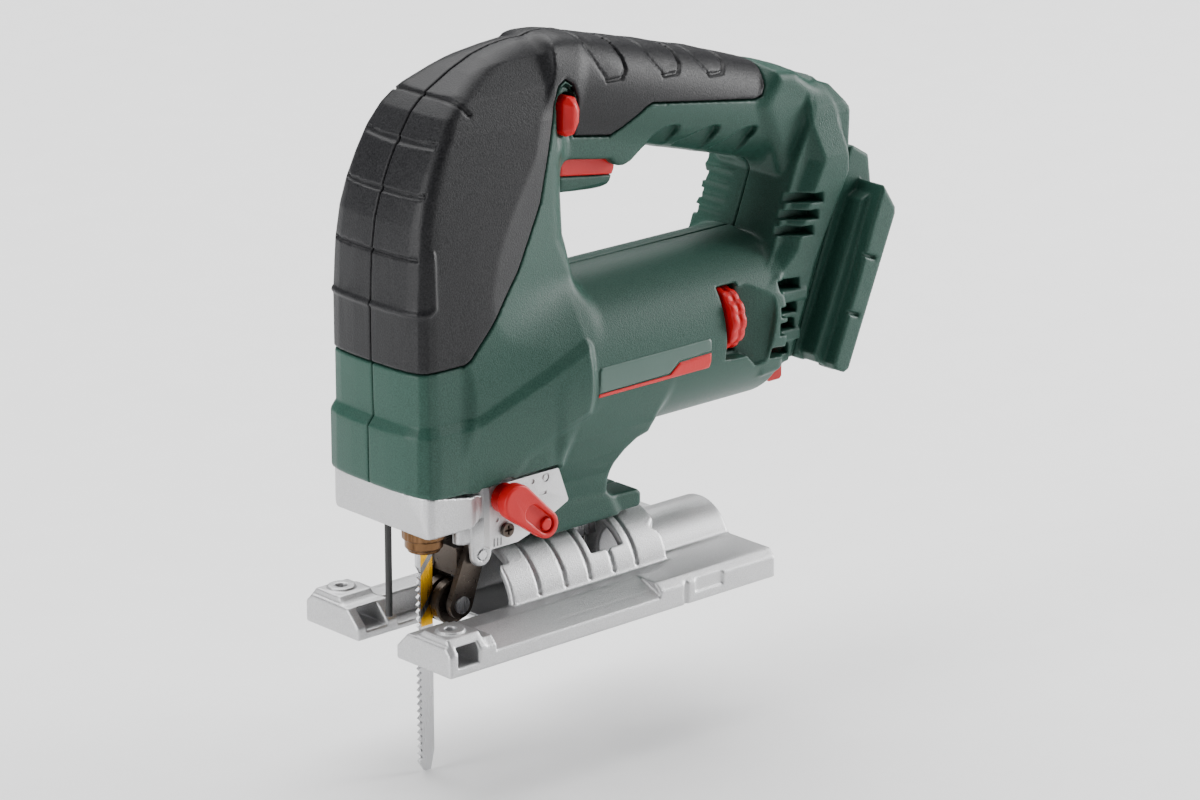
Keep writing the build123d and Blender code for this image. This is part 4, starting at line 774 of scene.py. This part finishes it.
def build_gear_case():
    """Nose block with lugs, the far side's plate, and the bracket for gears and plunger."""
    g = Grid((-81, -27.5, 23), (-7, 27.5, 155), 0.65)
    block = outline(g.x, g.z, [(-79.4, 64.1), (-75.8, 47), (-52, 47), (-49, 50), (-49, 59.2), (-54, 59.2)])
    case = smax(block, outline(g.x, g.y, CASE_PLAN), 0.8)
    # shadow gap under the housing
    case = carve(case, 62.9 - 0.193 * (g.x + 79.4) - g.z, 1.6, 0.2)
    case = smin(case, box(g, (-50, -20.5, 47), (-33, 20.5, 61), 0.5), 0.8)
    case = cut(case, box(g, (-68.5, -13, 49.5), (-46.3, 13, 61), 1), 0.5)
    # inner bracket
    case = smin(case, box(g, (-73.8, -9.5, 61), (-16, 9.5, 73), 1), 1.0)
    case = smin(case, box(g, (-24, -16.4, 60), (-16, 16.4, 152), 0.8), 0.4)
    case = smin(case, box(g, (-66, -9, 140), (-16, 9, 152), 1), 1.0)
    lug = np.minimum(outline(g.x, g.z, [(-45, 47.4), (-43.9, 29.5), (-35.1, 29.5), (-34.2, 47.4)]),
                     disc(g.x, g.z, (PIN_X, PIN_Z), 4.4))
    for low, high in ((-12, -9.3), (9.3, 12)):
        case = smin(case, smax(lug, between(g.y, low, high), 0.5), 0.8)
    scale = outline(g.x, g.z, [(-46, 59.2), (-13.6, 59.2), (-8.8, 46), (-27.6, 37.6), (-33, 36), (-46, 36)])
    case = smin(case, smax(scale, between(g.y, 20.4, 23.5), 0.8), 0.6)
    case = smin(case, np.maximum(disc(g.x, g.y, (-45.8, -8), 3.2), between(g.z, 34.5, 48)), 0.5)
    # bores for the plunger, motor bearing, gear axle, lever shaft and pendulum pin
    case = cut(case, np.maximum(disc(g.x, g.y, (PLUNGER_X, 0), 7), between(g.z, 58, 160)), 0.3)
    case = cut(case, np.maximum(disc(g.x, g.y, (PLUNGER_X, 0), 9.6), between(g.z, 40, 52)), 0.4)
    case = cut(case, np.maximum(disc(g.y, g.z, (0, MOTOR_Z), 9.5), between(g.x, -25, -15)), 0.3)
    case = cut(case, np.maximum(disc(g.y, g.z, (0, GEAR_Z), 4), between(g.x, -25, -15)), 0.3)
    case = cut(case, np.maximum(disc(g.x, g.z, (LEVER_X, LEVER_Z), 3.05), between(g.y, -25, -4.5)), 0.2)
    case = cut(case, np.maximum(disc(g.x, g.z, (PIN_X, PIN_Z), 2), between(g.y, -15, 15)), 0.2)
    piece("gear_housing", case, g, CAST, "housing", ["gear_case"], 0.6)


build_shoe()
build_gear_case()

# ---------------------------------------------------------------- base plate
DECK = 11.0  # top of the plate
TILT_Z = 8  # bevel axis
PORT_Z = 6  # axis of the dust port
QUAD_OUT, QUAD_IN, QUAD_FRONT, QUAD_REAR = 22.0, 19.0, -33.5, 41
PORT_OUT, PORT_IN = 16.0, 13.0
FENCE_X, FENCE_Y = -70, 30
PANEL_FRONT, PANEL_REAR = -57, 21  # sloping panel of each rail


def build_rails(g, side_y):
    """Flat plate with sloping panels, and the raised feet with their screw bosses."""
    plan = outline(g.x, g.y, [(-78.5, -40), (78.2, -40), (78.2, 40), (-78.5, 40)])
    profile = outline(side_y, g.z, [(-50, 0), (40, 0), (40, 8), (37, DECK), (-50, DECK)])
    plate = smax(smax(plan, profile, 0.5), -g.z, 0.3)
    slope = (g.z - DECK) * math.cos(0.4) + (side_y - 27.5) * math.sin(0.4)
    plate = smax(plate, np.minimum(slope, -between(g.x, PANEL_FRONT, PANEL_REAR)), 0.3)
    foot = outline(side_y, g.z, [(20, 4), (20, 11), (23, 13.5), (36, 13.5), (39.4, 9), (39.4, 4)])
    plate = smin(plate, smax(foot, between(g.x, -77, -62), 0.8), 1.2)
    boss = np.maximum(disc(g.x, side_y, (FENCE_X, FENCE_Y), 5), between(g.z, 8, 14.5))
    return smin(plate, boss, 0.5)


def build_sole():
    """Base plate with the bevel quadrant, the dust port and its openings."""
    g = Grid((-79.7, -41.2, -1.2), (79.4, 41.2, 31.5), 0.6)
    side_y = np.abs(g.y)
    quad = smax(disc(g.y, g.z, (0, TILT_Z), QUAD_OUT), between(g.x, QUAD_FRONT, QUAD_REAR), 0.8)
    port = smax(disc(g.y, g.z, (0, PORT_Z), PORT_OUT), between(g.x, 30, 78.2), 0.8)
    plate = smin(build_rails(g, side_y), np.maximum(quad, 5 - g.z), 1.5)
    plate = smin(plate, np.maximum(port, 4 - g.z), 1.2)
    for groove_x in (-20.5, -8.2, 3.6, 15.1, 26.4):
        plate = carve(plate, np.maximum(np.abs(g.x - groove_x) - 0.55, 12.3 - g.z), 0.8, 0.3)
    tunnel = np.maximum(disc(g.y, g.z, (0, TILT_Z), QUAD_IN), between(g.x, -60, 38))
    tunnel = np.minimum(tunnel, np.maximum(disc(g.y, g.z, (0, PORT_Z), PORT_IN), between(g.x, 30, 90)))
    plate = cut(plate, np.maximum(tunnel, 2.5 - g.z), 0.5)
    # window for the bevel clamp, and the front notch that clears the lugs
    plate = cut(plate, box(g, (7, -17.7, 16), (22, 17.7, 40), 0.6), 0.5)
    plate = cut(plate, box(g, (-45, -14, 15), (-29.5, 14, 40), 0.6), 0.5)
    # blade slot, open in front, its edges sloped
    plate = cut(plate, box(g, (-90, -10.5, -5), (QUAD_FRONT, 10.5, 20), 1.0), 0.7)
    bevel = np.maximum(side_y * 0.7071 - g.z * 0.7071 - 3.89, g.x - QUAD_FRONT)
    plate = cut(plate, np.maximum(bevel, 4.9 - g.z), 0.3)
    # fence channel and screw holes
    plate = cut(plate, np.maximum(box(g, (-74.8, -60, 3.4), (-65.2, 60, 10.4), 0.4), 8 - side_y), 0.4)
    plate = cut(plate, np.maximum(disc(g.x, side_y, (FENCE_X, FENCE_Y), 2.1), between(g.z, 8, 20)), 0.2)
    # hollow underside, marks on the edge, and notches in the quadrant's rear rim
    hollow = np.maximum(np.maximum(between(side_y, 23, 35), between(g.x, -23, 67)), g.z - 7)
    plate = cut(plate, hollow, 0.6)
    plate = cut(plate, np.maximum(np.abs(g.x - 33.8) - 0.7, 38.9 - side_y), 0.3)
    clip = np.maximum(np.maximum(between(g.x, 38.5, 52), 39.1 - side_y), between(g.z, 4, 9.5))
    plate = cut(plate, clip, 0.3)
    notch = outline(g.x, side_y, [(42, 13.0), (42, 18.5), (37.6, 15.8)])
    plate = cut(plate, np.maximum(notch, 16 - g.z), 0.3)
    piece("sole_plate", plate, g, CAST, "base", ["base_plate"], 0.6)


build_sole()

# ---------------------------------------------------------------- stage, light, camera
FLOOR_HALF = 6.0  # metres
floor_z = cad_box[0][2] - 0.0006
mesh = bpy.data.meshes.new("floor")
mesh.from_pydata([(-FLOOR_HALF, -FLOOR_HALF, floor_z), (FLOOR_HALF, -FLOOR_HALF, floor_z),
                  (FLOOR_HALF, FLOOR_HALF, floor_z), (-FLOOR_HALF, FLOOR_HALF, floor_z)], [], [(0, 1, 2, 3)])
floor = bpy.data.objects.new("floor", mesh)
bpy.context.scene.collection.objects.link(floor)
PAPER = material("floor_paper", (0.93, 0.93, 0.93), 0.7, grain=60, bump=0.02, mottle=0.01)
floor.data.materials.append(PAPER)

world = bpy.data.worlds.new("studio")
bpy.context.scene.world = world
world.use_nodes = True
world.node_tree.nodes["Background"].inputs["Color"].default_value = (0.95, 0.97, 1.0, 1)
world.node_tree.nodes["Background"].inputs["Strength"].default_value = 0.16

AIM = Vector((0.03, 0, 0.08))


def softbox(name, place, width, height, power):
    data = bpy.data.lights.new(name, "AREA")
    data.shape, data.size, data.size_y, data.energy = "RECTANGLE", width, height, power
    lamp = bpy.data.objects.new(name, data)
    bpy.context.scene.collection.objects.link(lamp)
    lamp.location = place
    lamp.rotation_mode = "QUATERNION"
    lamp.rotation_quaternion = (AIM - Vector(place)).to_track_quat("-Z", "Y")


softbox("right", (1.85, -0.75, 0.5), 0.6, 1.5, 68)
softbox("front", (-1.9, 0.25, 0.5), 0.6, 1.3, 36)
softbox("top", (0.6, 1.3, 3.2), 4.2, 4.2, 290)

camera_data = bpy.data.cameras.new("camera")
camera = bpy.data.objects.new("camera", camera_data)
bpy.context.scene.collection.objects.link(camera)
bpy.context.scene.camera = camera
AZIMUTH, ELEVATION, DISTANCE = math.radians(-42.243), math.radians(17.830), 1.7097
TARGET = Vector((0.02758, 0, 0.06983))
back = Vector((math.sin(AZIMUTH) * math.cos(ELEVATION), -math.cos(AZIMUTH) * math.cos(ELEVATION),
               math.sin(ELEVATION)))
camera.location = TARGET + back * DISTANCE
camera.rotation_mode = "QUATERNION"
camera.rotation_quaternion = (-back).to_track_quat("-Z", "Y")
camera_data.sensor_width, camera_data.lens = 36.0, 141.52
camera_data.clip_start, camera_data.clip_end = 0.05, 30

bpy.context.view_layer.update()
